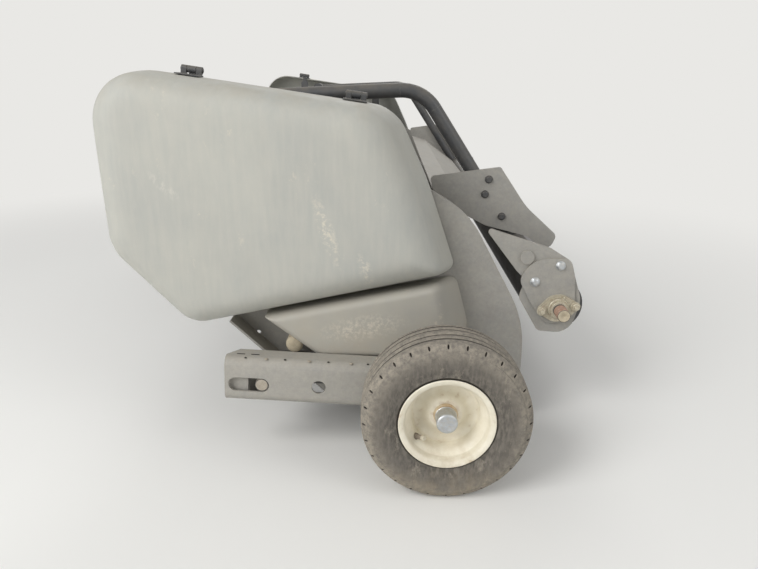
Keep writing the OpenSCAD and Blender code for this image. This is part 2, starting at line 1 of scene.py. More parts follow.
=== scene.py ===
"""Dresses the pickup header of a large square baler.

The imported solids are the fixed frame. Every one of them gets a finish here, and the moulded covers, wheels,
spring tines, auger flights, bent tubes, bearings and fasteners are modelled over the plain solids.
The part's own frame is in metres: +X is the direction of travel, +Y is left and +Z is up. Tables of corners,
rings and profiles are in millimetres.
"""

from __future__ import annotations

import json
import logging
import math
from collections.abc import Iterable, Sequence
from dataclasses import dataclass, field
from enum import Enum

import bmesh
import bpy
from bmesh.types import BMesh, BMFace, BMVert
from mathutils import Matrix, Vector

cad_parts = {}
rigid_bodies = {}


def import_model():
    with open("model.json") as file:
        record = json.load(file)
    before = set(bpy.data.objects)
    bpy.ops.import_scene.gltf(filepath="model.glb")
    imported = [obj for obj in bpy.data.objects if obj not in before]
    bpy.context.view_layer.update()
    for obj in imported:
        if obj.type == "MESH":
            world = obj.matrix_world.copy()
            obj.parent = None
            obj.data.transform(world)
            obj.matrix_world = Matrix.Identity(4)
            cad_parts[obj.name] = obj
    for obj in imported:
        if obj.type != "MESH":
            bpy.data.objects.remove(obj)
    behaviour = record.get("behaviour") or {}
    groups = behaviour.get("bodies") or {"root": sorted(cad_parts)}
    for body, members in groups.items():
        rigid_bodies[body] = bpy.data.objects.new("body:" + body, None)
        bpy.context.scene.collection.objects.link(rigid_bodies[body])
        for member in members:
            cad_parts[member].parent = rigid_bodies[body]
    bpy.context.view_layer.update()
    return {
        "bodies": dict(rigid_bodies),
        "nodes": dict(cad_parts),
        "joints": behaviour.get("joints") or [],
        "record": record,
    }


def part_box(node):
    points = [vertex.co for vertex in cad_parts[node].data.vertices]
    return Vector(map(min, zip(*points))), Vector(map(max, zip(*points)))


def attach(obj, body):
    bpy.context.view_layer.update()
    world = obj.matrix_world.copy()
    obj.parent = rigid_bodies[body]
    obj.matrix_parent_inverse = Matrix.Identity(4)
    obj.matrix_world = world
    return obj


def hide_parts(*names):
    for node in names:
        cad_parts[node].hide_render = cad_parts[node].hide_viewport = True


LOG = logging.getLogger("header")
MM = 0.001
PHOTO_SIZE = (758, 569)
# Where the gauge wheels' axis crosses the XZ plane
WHEEL_AXIS = (0.650, 0.0, -0.497)
# How far up a surface looks, and how sharply it turns, between none and all of a layer
UPWARD_RANGE = (0.15, 0.9)
EDGE_RANGE = (0.02, 0.25)
Tree = bpy.types.NodeTree
Socket = bpy.types.NodeSocket
Colour = tuple[float, float, float, float]


class Side(Enum):
    """The two ends of the header, with the sign of Y on each."""

    RIGHT = ("R", -1.0)
    LEFT = ("L", 1.0)

    @property
    def letter(self) -> str:
        """Letter that ends the names of this side's nodes and bodies."""
        return self.value[0]

    @property
    def sign(self) -> float:
        """Sign of Y outwards on this side."""
        return self.value[1]

    def of(self, base: str) -> str:
        """Name of this side's node or body, such as end_cover_R."""
        return f"{base}_{self.letter}"


class Facing(Enum):
    """Where on a surface a layer of dirt, dust or wear lies."""

    ANYWHERE = "anywhere"
    UPWARD = "upward"
    EDGES = "edges"
    LOW = "low"
    AROUND_WHEEL = "around_wheel"


def linear(hex_colour: str) -> Colour:
    """Turns an sRGB hex value into linear light.

    Args:
        hex_colour: six hex digits after a hash mark.

    Returns:
        Red, green, blue and an alpha of 1.
    """
    channels = [int(hex_colour[i : i + 2], 16) / 255 for i in (1, 3, 5)]
    low, knee, gamma = 12.92, 0.04045, 2.4
    light = [c / low if c <= knee else ((c + 0.055) / 1.055) ** gamma for c in channels]
    return (light[0], light[1], light[2], 1.0)


def add(
    tree: Tree,
    kind: str,
    inputs: dict[int | str, object] | None = None,
    **settings: object,
) -> bpy.types.Node:
    """Adds a shader node with its settings and links.

    Args:
        tree: the material's or world's node tree.
        kind: the node's type, such as ShaderNodeTexNoise.
        inputs: a value or another node's output for each input named or numbered.
        settings: the node's own properties.

    Returns:
        The new node.
    """
    node = tree.nodes.new(kind)
    for name, value in settings.items():
        setattr(node, name, value)
    for key, value in (inputs or {}).items():
        if isinstance(value, Socket):
            tree.links.new(value, node.inputs[key])
        else:
            node.inputs[key].default_value = value
    return node


def ramp(
    tree: Tree, value: Socket, low: float, high: float, to_low: float = 0.0, to_high: float = 1.0
) -> Socket:
    """Maps a value from low to high onto a range of results, held at both ends, and returns its socket."""
    limits = {"From Min": low, "From Max": high, "To Min": to_low, "To Max": to_high}
    return add(tree, "ShaderNodeMapRange", {"Value": value, **limits}).outputs[0]


def calculate(tree: Tree, operation: str, *terms: object, vectors: bool = False) -> Socket:
    """Adds a Math or Vector Math node.

    Args:
        tree: the node tree.
        operation: what the node does, such as MULTIPLY.
        terms: a value or another node's output for each input.
        vectors: whether the terms are vectors.

    Returns:
        The result's socket.
    """
    kind = "ShaderNodeVectorMath" if vectors else "ShaderNodeMath"
    node = add(tree, kind, dict(enumerate(terms)), operation=operation)
    is_vector = vectors and operation not in ("LENGTH", "DOT_PRODUCT")
    return node.outputs["Vector" if is_vector else "Value"]


def noise(
    tree: Tree,
    place: Socket,
    size_mm: float,
    stretch: tuple[float, float, float] = (1.0, 1.0, 1.0),
    detail: float = 5.0,
    roughness: float = 0.5,
) -> Socket:
    """Adds a noise texture.

    Args:
        tree: the material's node tree.
        place: the surface's Object coordinates.
        size_mm: size of its largest patches.
        stretch: how much finer it runs along each axis.
        detail: octaves of finer noise.
        roughness: how strong the finer octaves are.

    Returns:
        The noise's value.
    """
    mapped = add(tree, "ShaderNodeMapping", {"Vector": place, "Scale": stretch}).outputs[0]
    inputs = {"Vector": mapped, "Scale": 1 / (size_mm * MM), "Detail": detail, "Roughness": roughness}
    return add(tree, "ShaderNodeTexNoise", inputs).outputs[0]


@dataclass(frozen=True)
class Spot:
    """An oval place that a layer keeps to, the same on both ends of the header, in millimetres."""

    x: float
    z: float
    half_x: float
    half_z: float
    lean_deg: float

    def mask(self, tree: Tree, place: Socket) -> Socket:
        """Builds the spot's mask.

        Args:
            tree: the material's node tree.
            place: the surface's Object coordinates.

        Returns:
            The socket that holds 1 in the spot's middle and 0 outside it.
        """
        far_past_both_ends = 1000.0
        local = add(
            tree,
            "ShaderNodeMapping",
            {"Vector": place, "Location": (self.x * MM, 0.0, self.z * MM),
             "Rotation": (0.0, math.radians(self.lean_deg), 0.0),
             "Scale": (self.half_x * MM, far_past_both_ends, self.half_z * MM)},
            vector_type="TEXTURE",
        ).outputs[0]
        return ramp(tree, calculate(tree, "LENGTH", local, vectors=True), 1.0, 0.4)


@dataclass(frozen=True)
class Layer:
    """Dust, dirt, rust or wear that lies over a finish in patches."""

    colour: str
    patch_mm: float
    cover: float
    strength: float
    softness: float = 0.12
    stretch: tuple[float, float, float] = (1.0, 1.0, 1.0)
    facing: Facing = Facing.ANYWHERE
    roughness: float = 0.95
    # Heights, or distances from the wheels' axis, between which the layer comes in, in metres
    reach: tuple[float, float] = (0.0, 1.0)
    # How much of the noise is fine, which breaks a patch up into flecks
    fineness: float = 0.62
    spot: Spot | None = None

    def mask(self, tree: Tree, place: Socket, edge: Socket | None) -> Socket:
        """Builds the layer's mask.

        Args:
            tree: the material's node tree.
            place: the surface's Object coordinates.
            edge: how sharply the surface turns, where the finish works that out.

        Returns:
            The socket that holds how much of the layer lies at each point.
        """
        bare, cover_span = 0.62, 0.24
        threshold = bare - cover_span * self.cover
        value = noise(tree, place, self.patch_mm, self.stretch, 7.0, self.fineness)
        patches = ramp(
            tree, value, threshold - self.softness, threshold + self.softness, to_high=self.strength
        )
        if self.spot:
            patches = calculate(tree, "MULTIPLY", patches, self.spot.mask(tree, place))
        exposed = self.exposure(tree, place, edge)
        return patches if exposed is None else calculate(tree, "MULTIPLY", patches, exposed)

    def exposure(self, tree: Tree, place: Socket, edge: Socket | None) -> Socket | None:
        """Finds how far each point lies where the layer gathers.

        Args:
            tree: the material's node tree.
            place: the surface's Object coordinates.
            edge: how sharply the surface turns, where the finish works that out.

        Returns:
            The socket that holds 0 to 1, or None for a layer that lies anywhere.
        """
        if self.facing is Facing.UPWARD:
            normal = add(tree, "ShaderNodeTexCoord").outputs["Normal"]
            return ramp(tree, add(tree, "ShaderNodeSeparateXYZ", {0: normal}).outputs["Z"], *UPWARD_RANGE)
        if self.facing is Facing.LOW:
            height = add(tree, "ShaderNodeSeparateXYZ", {0: place}).outputs["Z"]
            return ramp(tree, height, self.reach[1], self.reach[0])
        if self.facing is Facing.AROUND_WHEEL:
            from_axis = calculate(tree, "SUBTRACT", place, WHEEL_AXIS, vectors=True)
            flat = calculate(tree, "MULTIPLY", from_axis, (1.0, 0.0, 1.0), vectors=True)
            return ramp(tree, calculate(tree, "LENGTH", flat, vectors=True), *self.reach)
        if self.facing is Facing.EDGES and edge is not None:
            return ramp(tree, edge, *EDGE_RANGE)
        return None


@dataclass(frozen=True)
class Grain:
    """Fine relief of a surface, such as orange peel, mould texture or rolling marks."""

    size_mm: float
    depth_mm: float
    stretch: tuple[float, float, float] = (1.0, 1.0, 1.0)
    detail: float = 3.0


@dataclass(frozen=True)
class Finish:
    """One real material and how its surface was made, drawn with nodes on Object coordinates."""

    name: str
    base: str
    tone: str
    tone_mm: float
    roughness: float
    metallic: float = 0.0
    ior: float = 1.5
    coat: float = 0.0
    edge_mm: float = 0.0
    layers: tuple[Layer, ...] = ()
    grains: tuple[Grain, ...] = ()

    def material(self) -> bpy.types.Material:
        """Returns this finish's material, made once."""
        made = bpy.data.materials.get(self.name)
        return made or self.build()

    def build(self) -> bpy.types.Material:
        """Builds the material.

        Returns:
            The new material, named for the finish.
        """
        made = bpy.data.materials.new(self.name)
        made.use_nodes = True
        tree = made.node_tree
        tree.nodes.clear()
        place = add(tree, "ShaderNodeTexCoord").outputs["Object"]
        drift = noise(tree, place, self.tone_mm, roughness=0.6)
        colour = add(
            tree,
            "ShaderNodeMix",
            {0: ramp(tree, drift, 0.3, 0.7), 6: linear(self.base), 7: linear(self.tone)},
            data_type="RGBA",
        ).outputs[2]
        sway = 0.08
        rough = ramp(tree, drift, 0.0, 1.0, self.roughness - sway, self.roughness + sway)
        metal: Socket | float = self.metallic
        normal, edge = self.rounded_edges(tree)
        for layer in self.layers:
            mask = layer.mask(tree, place, edge)
            colour = add(
                tree, "ShaderNodeMix", {0: mask, 6: colour, 7: linear(layer.colour)}, data_type="RGBA"
            ).outputs[2]
            rough = add(tree, "ShaderNodeMix", {0: mask, 2: rough, 3: layer.roughness}).outputs[0]
            if self.metallic:
                metal = add(tree, "ShaderNodeMix", {0: mask, 2: metal, 3: 0.0}).outputs[0]
        for grain in self.grains:
            normal = self.relief(tree, place, grain, normal)
        shader = add(
            tree,
            "ShaderNodeBsdfPrincipled",
            {"Base Color": colour, "Roughness": rough, "Metallic": metal, "IOR": self.ior,
             "Coat Weight": self.coat, "Coat Roughness": 0.25},
        )
        if normal is not None:
            tree.links.new(normal, shader.inputs["Normal"])
        add(tree, "ShaderNodeOutputMaterial", {"Surface": shader.outputs[0]})
        return made

    def rounded_edges(self, tree: Tree) -> tuple[Socket | None, Socket | None]:
        """Rounds the look of cut edges by the finish's edge radius.

        Args:
            tree: the material's node tree.

        Returns:
            The rounded normal and how sharply the surface turns, or two times None.
        """
        if not self.edge_mm:
            return None, None
        soft = add(tree, "ShaderNodeBevel", {"Radius": self.edge_mm * MM}, samples=4).outputs[0]
        flat = add(tree, "ShaderNodeNewGeometry").outputs["Normal"]
        match = calculate(tree, "DOT_PRODUCT", soft, flat, vectors=True)
        return soft, calculate(tree, "SUBTRACT", 1.0, match)

    @staticmethod
    def relief(tree: Tree, place: Socket, grain: Grain, below: Socket | None) -> Socket:
        """Adds one grain of relief over what lies below it.

        Args:
            tree: the material's node tree.
            place: the surface's Object coordinates.
            grain: the relief's size and depth.
            below: the normal that the relief starts from.

        Returns:
            The new normal.
        """
        height = noise(tree, place, grain.size_mm, grain.stretch, grain.detail)
        inputs: dict[int | str, object] = {"Height": height, "Distance": grain.depth_mm * MM, "Strength": 1.0}
        if below is not None:
            inputs["Normal"] = below
        return add(tree, "ShaderNodeBump", inputs).outputs[0]


# Reaction-moulded cover plastic: a dull through-dyed grey, sun-bleached, with a film of dust and a few scuffs
COVER_PLASTIC = Finish(
    "moulded_cover_plastic", "#ABABA4", "#B2B2AA", 320, 0.50, ior=1.49,
    layers=(
        Layer("#BDB9AD", 70, 0.40, 0.30, softness=0.2, stretch=(1.0, 1.0, 0.35), roughness=0.9),
        Layer("#989B9A", 150, 0.35, 0.35, softness=0.2, roughness=0.6),
        Layer("#C3C0B5", 14, 0.40, 0.25, softness=0.15, stretch=(1.0, 1.0, 0.12), roughness=0.9),
        Layer("#D2CBB9", 120, -0.14, 0.5, softness=0.04, stretch=(1.0, 1.0, 0.6), roughness=0.9,
              fineness=0.86),
        Layer("#D8D1BF", 11, 0.38, 0.65, softness=0.05, roughness=0.9, fineness=0.8,
              spot=Spot(360, -95, 22, 112, -17)),
        Layer("#D8D1BF", 11, 0.38, 0.55, softness=0.05, roughness=0.9, fineness=0.8,
              spot=Spot(454, -194, 20, 56, -13)),
        Layer("#D2CFC4", 9, 0.35, 0.40, softness=0.06, stretch=(1.0, 1.0, 0.5), roughness=0.9, fineness=0.75,
              spot=Spot(-31, 15, 16, 60, -48)),
        Layer("#ACA698", 60, 0.50, 0.5, facing=Facing.UPWARD),
    ),
    grains=(Grain(3.0, 0.04), Grain(160, 0.8, detail=1.0)),
)
# The lower panel is the same plastic, browner where mud has splashed and dried
PANEL_PLASTIC = Finish(
    "moulded_panel_plastic", "#9F9C94", "#A6A399", 200, 0.58, ior=1.49,
    layers=(
        Layer("#ADA698", 50, 0.35, 0.35, softness=0.2),
        Layer("#CFC5B2", 90, -0.10, 0.6, softness=0.03, fineness=0.86),
        Layer("#D0C8B7", 11, 0.36, 0.6, softness=0.05, fineness=0.8,
              spot=Spot(447, -355, 130, 40, -9)),
        Layer("#A69A87", 60, 0.60, 0.35, facing=Facing.LOW, reach=(-0.45, -0.28)),
    ),
    grains=(Grain(3.0, 0.04),),
)
# Welded tube frame: satin powder coat, dust on what faces up and bare steel where it rubs
FRAME_PAINT = Finish(
    "satin_frame_paint", "#3A3C3F", "#454648", 90, 0.42, coat=0.1, edge_mm=1.5,
    layers=(
        Layer("#8A8274", 60, 0.50, 0.50, softness=0.25, facing=Facing.UPWARD),
        Layer("#6F685C", 30, 0.30, 0.30, softness=0.2, roughness=0.9),
        Layer("#A39C90", 6, 0.35, 0.7, facing=Facing.EDGES, roughness=0.5),
    ),
    grains=(Grain(2.2, 0.04),),
)
# Laser-cut plate: the same coat in a lighter grey, dulled by soil and chipped at the cut edges
PLATE_PAINT = Finish(
    "dusty_plate_paint", "#94938E", "#9C9A95", 120, 0.55, edge_mm=1.2,
    layers=(
        Layer("#A8A297", 40, 0.45, 0.4, softness=0.2),
        Layer("#7E7D7A", 70, 0.25, 0.35, softness=0.2, roughness=0.6),
        Layer("#B6AFA2", 10, 0.38, 0.32, softness=0.12, fineness=0.75),
        Layer("#7B7975", 26, 0.25, 0.22, softness=0.15, roughness=0.8),
        Layer("#AAA394", 25, 0.50, 0.5, softness=0.2, facing=Facing.UPWARD),
        Layer("#B8B1A4", 4, 0.40, 0.6, facing=Facing.EDGES, roughness=0.6),
    ),
    grains=(Grain(2.5, 0.05),),
)
# Wheel arm: the plate paint again, bleached grey and evenly dusted by the road
ARM_PAINT = Finish(
    "road_dusted_arm_paint", "#9A9892", "#A19E97", 90, 0.6, edge_mm=1.2,
    layers=(
        Layer("#ABA599", 45, 0.45, 0.3, softness=0.2),
        Layer("#8A8883", 60, 0.25, 0.35, softness=0.2, stretch=(0.4, 1.0, 1.0), roughness=0.7),
        Layer("#BBB4A7", 9, 0.38, 0.32, softness=0.12, fineness=0.75),
        Layer("#82807B", 26, 0.25, 0.22, softness=0.15, roughness=0.8),
        Layer("#A69E8E", 30, 0.50, 0.4, softness=0.2, facing=Facing.UPWARD),
        Layer("#B5AD9D", 5, 0.35, 0.5, facing=Facing.EDGES, roughness=0.7),
    ),
    grains=(Grain(2.5, 0.05),),
)
# Steel under a dry crust of beige soil, as on the studs and pins behind the wheels
SOIL_CRUST = Finish(
    "soil_crusted_steel", "#CBBFA6", "#BDB097", 16, 0.95,
    layers=(Layer("#A09580", 7, 0.25, 0.4),),
    grains=(Grain(3.0, 0.25),),
)
# Pin ends and weld plugs: grey-brown steel with dust ground in
DUSTY_STEEL = Finish(
    "dusty_steel_end", "#B3AA9B", "#A59C8E", 12, 0.85, metallic=0.1,
    layers=(Layer("#857C70", 5, 0.30, 0.5),),
    grains=(Grain(2.0, 0.08),),
)
# Painted shade: dark discs and inlays that stand for the shade in holes and slots of the painted plate
HOLE_SHADE = Finish("painted_hole_shade", "#23221F", "#2C2A27", 10, 0.8)
# Crop-polished sheet: paint worn off in the crop's path, with long scratches and thin rust between seasons
CROP_SHEET = Finish(
    "crop_polished_sheet", "#85827D", "#918E88", 110, 0.40, metallic=0.8, edge_mm=1.0,
    layers=(
        Layer("#75675A", 90, 0.30, 0.30, softness=0.2, roughness=0.85),
        Layer("#847E73", 60, 0.35, 0.30, softness=0.2, facing=Facing.UPWARD),
    ),
    grains=(Grain(1.2, 0.03, stretch=(0.08, 1.0, 1.0)),),
)
# Oil-tempered spring wire, black where it is clamped and bright at the tips
SPRING_STEEL = Finish(
    "tempered_spring_wire", "#4A4643", "#6B6762", 40, 0.34, metallic=0.9,
    layers=(Layer("#6E4F38", 18, 0.28, 0.6, roughness=0.85),),
    grains=(Grain(1.5, 0.02),),
)
# White zinc plate: bright, slightly blue and mottled
WHITE_ZINC = Finish(
    "white_zinc_plate", "#C9CDD0", "#B2B6BA", 14, 0.32, metallic=0.9,
    layers=(Layer("#B8AD98", 6, 0.25, 0.45, roughness=0.9),),
    grains=(Grain(1.5, 0.02),),
)
# Yellow chromate over zinc: a pale gold that has gone chalky
YELLOW_ZINC = Finish(
    "yellow_zinc_plate", "#CAC4B2", "#BFB7A0", 12, 0.5, metallic=0.3,
    layers=(
        Layer("#AFA697", 9, 0.30, 0.4, roughness=0.9),
        Layer("#93705A", 5, 0.10, 0.5, softness=0.06, roughness=0.9),
    ),
    grains=(Grain(2.0, 0.05),),
)
# Bare turned shaft with a fine even rust
RUSTED_SHAFT = Finish(
    "rusted_turned_shaft", "#B69380", "#C9AE9B", 8, 0.7, metallic=0.2,
    layers=(Layer("#91604A", 5, 0.40, 0.6),),
    grains=(Grain(1.2, 0.06, stretch=(1.0, 3.0, 1.0)),),
)
# Hub barrel: the rim's cream enamel, stained by rust that bleeds from under the cap
STAINED_HUB = Finish(
    "rust_stained_hub_enamel", "#D3C5A9", "#C4AE8B", 14, 0.7,
    layers=(Layer("#A07A55", 9, 0.35, 0.55, softness=0.15),),
    grains=(Grain(2.0, 0.05),),
)
# Rim enamel: cream gloss with dust in the well and a rust bloom near the hub
RIM_ENAMEL = Finish(
    "cream_rim_enamel", "#ECE6D5", "#E4DDC9", 60, 0.36, coat=0.25,
    layers=(
        Layer("#C9BDA3", 30, 0.30, 0.35, softness=0.2, roughness=0.9),
        Layer("#A88762", 60, -0.10, 0.5, softness=0.05, fineness=0.82),
        Layer("#9C7A58", 14, 0.55, 0.6, facing=Facing.AROUND_WHEEL, reach=(0.040, 0.027)),
        Layer("#B9A98D", 25, 0.55, 0.45, facing=Facing.LOW, reach=(-0.60, -0.55)),
    ),
    grains=(Grain(4.0, 0.04),),
)
# Carbon-black rubber under dry grey-brown road dust
TYRE_RUBBER = Finish(
    "dusty_ribbed_rubber", "#6A655E", "#767067", 40, 0.85, ior=1.52,
    layers=(
        Layer("#4A4640", 7, 0.50, 0.85, stretch=(1.0, 1.0, 0.35), facing=Facing.AROUND_WHEEL,
              reach=(0.190, 0.125), roughness=0.85),
        Layer("#A0988A", 12, 0.55, 0.8, facing=Facing.AROUND_WHEEL, reach=(0.155, 0.190), roughness=1.0,
              fineness=0.75),
        Layer("#A89F8F", 40, 0.05, 0.5, softness=0.05, stretch=(1.0, 1.0, 0.5), roughness=1.0, fineness=0.84),
        Layer("#A4977F", 30, 0.45, 0.5, facing=Facing.LOW, reach=(-0.70, -0.60), roughness=1.0),
    ),
    grains=(Grain(1.6, 0.08), Grain(6.0, 0.12)),
)
# Painted shade: the same rubber drawn darker in the tread's grooves and sipes and in the crevice at each
# bead, where light and dust don't reach
GROOVE_SHADE_RUBBER = Finish("shaded_groove_rubber", "#49453F", "#55504A", 20, 0.9)
# Moulded rubber of a valve stem, greyed by dust
STEM_RUBBER = Finish(
    "dusty_stem_rubber", "#6F655A", "#81776A", 12, 0.8,
    layers=(Layer("#A89D8B", 6, 0.35, 0.5),),
)

SLOT_FINISH: dict[str, Finish] = {
    "frame_paint": FRAME_PAINT,
    "plate_paint": PLATE_PAINT,
    "crop_sheet": CROP_SHEET,
    "cover_plastic": COVER_PLASTIC,
    "spring_steel": SPRING_STEEL,
    "zinc_plate": WHITE_ZINC,
    "rim_paint": RIM_ENAMEL,
    "tyre_rubber": TYRE_RUBBER,
}
# Pieces whose finish isn't the usual one of their material slot
OWN_FINISH: dict[str, Finish] = {
    "wheel_arm": ARM_PAINT,
    "cover_hinge": FRAME_PAINT,
    "lower_panel": PANEL_PLASTIC,
}

# Corner of an outline in an XZ plane: x, z and corner radius
Corner = tuple[float, float, float]
# Corner, then how far it has moved in x and z at the outer face
DrawnCorner = tuple[float, float, float, float, float]
# Bodies that both ends are part of
SHARED_BODIES = ("frame", "windguard", "guard_roller")
OUTWARDS = Vector((0.0, -1.0, 0.0))
ACROSS = Vector((0.0, 1.0, 0.0))


def millimetres(corners: Iterable[Corner]) -> list[Corner]:
    """Turns a corner table in millimetres into metres."""
    return [(x * MM, z * MM, r * MM) for x, z, r in corners]


def drawn(corners: Iterable[DrawnCorner], share: float) -> list[Corner]:
    """Outline in metres of a moulded shell, a share of the way out to its outer face."""
    return millimetres((x + share * dx, z + share * dz, r) for x, z, r, dx, dz in corners)


def inset_corners(corners: Sequence[Corner], distance: float) -> list[Corner]:
    """Moves a clockwise outline inwards, with each corner kept round.

    Args:
        corners: the outline's corner table.
        distance: how far the sides move in.

    Returns:
        The new corner table.
    """
    least_share = 0.45
    moved = []
    count = len(corners)
    for i, (x, z, radius) in enumerate(corners):
        here = Vector((x, z))
        before = (here - Vector(corners[i - 1][:2])).normalized()
        after = (Vector(corners[(i + 1) % count][:2]) - here).normalized()
        normal = Vector((after.y, -after.x))
        bisector = (Vector((before.y, -before.x)) + normal).normalized()
        place = here + bisector * distance / bisector.dot(normal)
        moved.append((place.x, place.y, max(radius - distance, least_share * radius)))
    return moved


def rounded_face(bm: BMesh, corners: Sequence[Corner], y: float, arc: int = 8) -> BMFace:
    """Adds a flat face in an XZ plane with rounded corners.

    Args:
        bm: the mesh to add to.
        corners: the outline's corner table.
        y: place of the plane.
        arc: segments in each rounded corner.

    Returns:
        The new face.
    """
    verts = [bm.verts.new((x, y, z)) for x, z, _ in corners]
    face = bm.faces.new(verts)
    places = [v.co.copy() for v in verts]
    count = len(verts)
    for i, vert in enumerate(verts):
        before = places[i - 1] - places[i]
        after = places[(i + 1) % count] - places[i]
        tangent = corners[i][2] / math.tan(before.angle(after) / 2)
        if tangent > 0:
            cut = bmesh.ops.bevel(
                bm, geom=[vert], offset=tangent, offset_type="OFFSET", affect="VERTICES", segments=arc,
                profile=0.5, material=-1,
            )
            face = cut["verts"][0].link_faces[0]
    return face


def round_face(bm: BMesh, radius: float, at: Vector, axis: Vector, segments: int) -> BMFace:
    """Adds a round face.

    Args:
        bm: the mesh to add to.
        radius: the circle's radius.
        at: its centre.
        axis: the way that the face looks.
        segments: corners round the circle.

    Returns:
        The new face.
    """
    turn = axis.to_track_quat("Z", "Y").to_matrix().to_4x4()
    made = bmesh.ops.create_circle(
        bm, cap_ends=True, radius=radius, segments=segments, matrix=Matrix.Translation(at) @ turn
    )
    return made["verts"][0].link_faces[0]


def push(bm: BMesh, face: BMFace, way: Vector, grow: float = 1.0) -> BMFace:
    """Extrudes a face.

    Args:
        bm: the mesh that the face is in.
        face: the face to move.
        way: how far and which way.
        grow: size of the new end against the old one.

    Returns:
        The face at the new end.
    """
    made = bmesh.ops.extrude_face_region(bm, geom=[face])["geom"]
    end = next(g for g in made if isinstance(g, BMFace))
    verts = list(end.verts)
    about = Matrix.Translation(-end.calc_center_median())
    bmesh.ops.scale(bm, vec=(grow, grow, grow), space=about, verts=verts)
    bmesh.ops.translate(bm, vec=way, verts=verts)
    return end


def stack(
    bm: BMesh, at: Vector, axis: Vector, rings: Sequence[tuple[float, float]], segments: int = 24
) -> None:
    """Adds a closed turned shape, built up ring by ring along its axis.

    Args:
        bm: the mesh to add to.
        at: the place on the axis that heights count from.
        axis: the axis, of length 1.
        rings: height and radius of each ring in millimetres.
        segments: corners round the axis.
    """
    height, radius = rings[0]
    face = round_face(bm, radius * MM, at + axis * height * MM, axis, segments)
    for next_height, next_radius in rings[1:]:
        face = push(bm, face, axis * (next_height - height) * MM, next_radius / radius)
        height, radius = next_height, next_radius


def spun(bm: BMesh, profile: Sequence[tuple[float, float]], centre: Vector, steps: int) -> list[BMFace]:
    """Turns a closed profile about an axis along Y.

    Args:
        bm: the mesh to add to.
        profile: radius and distance outwards of each point, in millimetres.
        centre: the axis's place at distance 0.
        steps: steps in the full turn.

    Returns:
        The new faces.
    """
    verts = [bm.verts.new(centre + Vector((r, -out, 0.0)) * MM) for r, out in profile]
    edges = [bm.edges.new(pair) for pair in zip(verts, verts[1:] + verts[:1])]
    known = set(bm.faces)
    bmesh.ops.spin(
        bm, geom=verts + edges, cent=centre, axis=ACROSS, angle=math.tau, steps=steps, use_merge=True
    )
    return [f for f in bm.faces if f not in known]


class Head(Enum):
    """Kinds of bolt head."""

    HEX = "hex"
    DOME = "dome"


def bolt(bm: BMesh, at: Vector, size: float, head: Head = Head.HEX) -> None:
    """Adds a bolt head on its washer, seated on a surface that looks outwards.

    Args:
        bm: the mesh to add to.
        at: the bolt's place on the surface.
        size: the thread's diameter in millimetres.
        head: the kind of head.
    """
    base = 0.2 * size
    stack(bm, at, OUTWARDS, [(0.0, 1.12 * size), (0.16 * size, 1.12 * size), (base, 1.06 * size)])
    if head is Head.HEX:
        shares, segments = ((0.0, 0.93), (0.5, 0.93), (0.64, 0.78)), 6
    else:
        shares, segments = ((0.0, 1.0), (0.14, 0.98), (0.3, 0.82), (0.42, 0.55), (0.48, 0.2)), 20
    stack(bm, at, OUTWARDS, [(base + size * h, size * r) for h, r in shares], segments)


def weld_ring(bm: BMesh, centre: Vector, radius: float, bead: float) -> None:
    """Adds a rippled weld bead round an axis along Y.

    Args:
        bm: the mesh to add to.
        centre: the ring's centre.
        radius: the ring's radius in millimetres.
        bead: radius of the bead in millimetres.
    """
    steps, corners, ripple_share = 48, 8, 0.012
    angles = [i * math.tau / corners for i in range(corners)]
    known = set(bm.verts)
    spun(bm, [(radius + bead * math.cos(a), bead * math.sin(a)) for a in angles], centre, steps)
    for vert in [v for v in bm.verts if v not in known]:
        turn = math.atan2(vert.co.z - centre.z, vert.co.x - centre.x)
        vert.co = centre + (vert.co - centre) * (1 + ripple_share * math.sin(turn * steps / 2))


@dataclass
class Piece:
    """A modelled piece on its way from an empty bmesh to a dressed object that rides on a body.

    Pieces are drawn at the right-hand end. One with a side gets its letter on the names of the piece, of the
    nodes that it stands for and of a body that each end has.
    """

    side: Side | None
    name: str
    body: str
    slot: str
    finish: Finish
    stands_for: tuple[str, ...] = ()
    smooth_deg: float = 32.0
    # Finish of the faces whose material index is 1
    second: Finish | None = None
    # What follows the letter in the piece's name
    suffix: str = ""
    bm: BMesh = field(default_factory=bmesh.new)

    def __post_init__(self) -> None:
        """Completes the names."""
        if self.side:
            self.name = self.side.of(self.name) + self.suffix
            self.stands_for = tuple(self.side.of(node) for node in self.stands_for)
            if self.body not in SHARED_BODIES:
                self.body = self.side.of(self.body)

    def dress(self) -> bpy.types.Object:
        """Turns the mesh into an object with its finish, riding on its body.

        Returns:
            The new object.
        """
        if self.side is Side.LEFT:
            bmesh.ops.scale(self.bm, vec=(1.0, -1.0, 1.0), verts=self.bm.verts)
        bmesh.ops.remove_doubles(self.bm, verts=self.bm.verts, dist=0.01 * MM)
        bmesh.ops.recalc_face_normals(self.bm, faces=self.bm.faces)
        mesh = bpy.data.meshes.new(self.name)
        self.bm.to_mesh(mesh)
        self.bm.free()
        mesh.shade_smooth()
        mesh.set_sharp_from_angle(angle=math.radians(self.smooth_deg))
        made = bpy.data.objects.new(self.name, mesh)
        bpy.context.scene.collection.objects.link(made)
        mesh.materials.append(self.finish.material())
        if self.second:
            mesh.materials.append(self.second.material())
        if self.stands_for:
            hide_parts(*self.stands_for)
        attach(made, self.body)
        LOG.info("%s: %d faces on %s", self.name, len(mesh.polygons), self.body)
        return made


def modify(piece: bpy.types.Object, name: str, kind: str, **settings: float) -> None:
    """Adds a modifier to a piece.

    Args:
        piece: the object to modify.
        name: the modifier's name.
        kind: the modifier's type, such as SUBSURF.
        settings: the modifier's own properties.
    """
    modifier = piece.modifiers.new(name, kind)
    for key, value in settings.items():
        setattr(modifier, key, value)


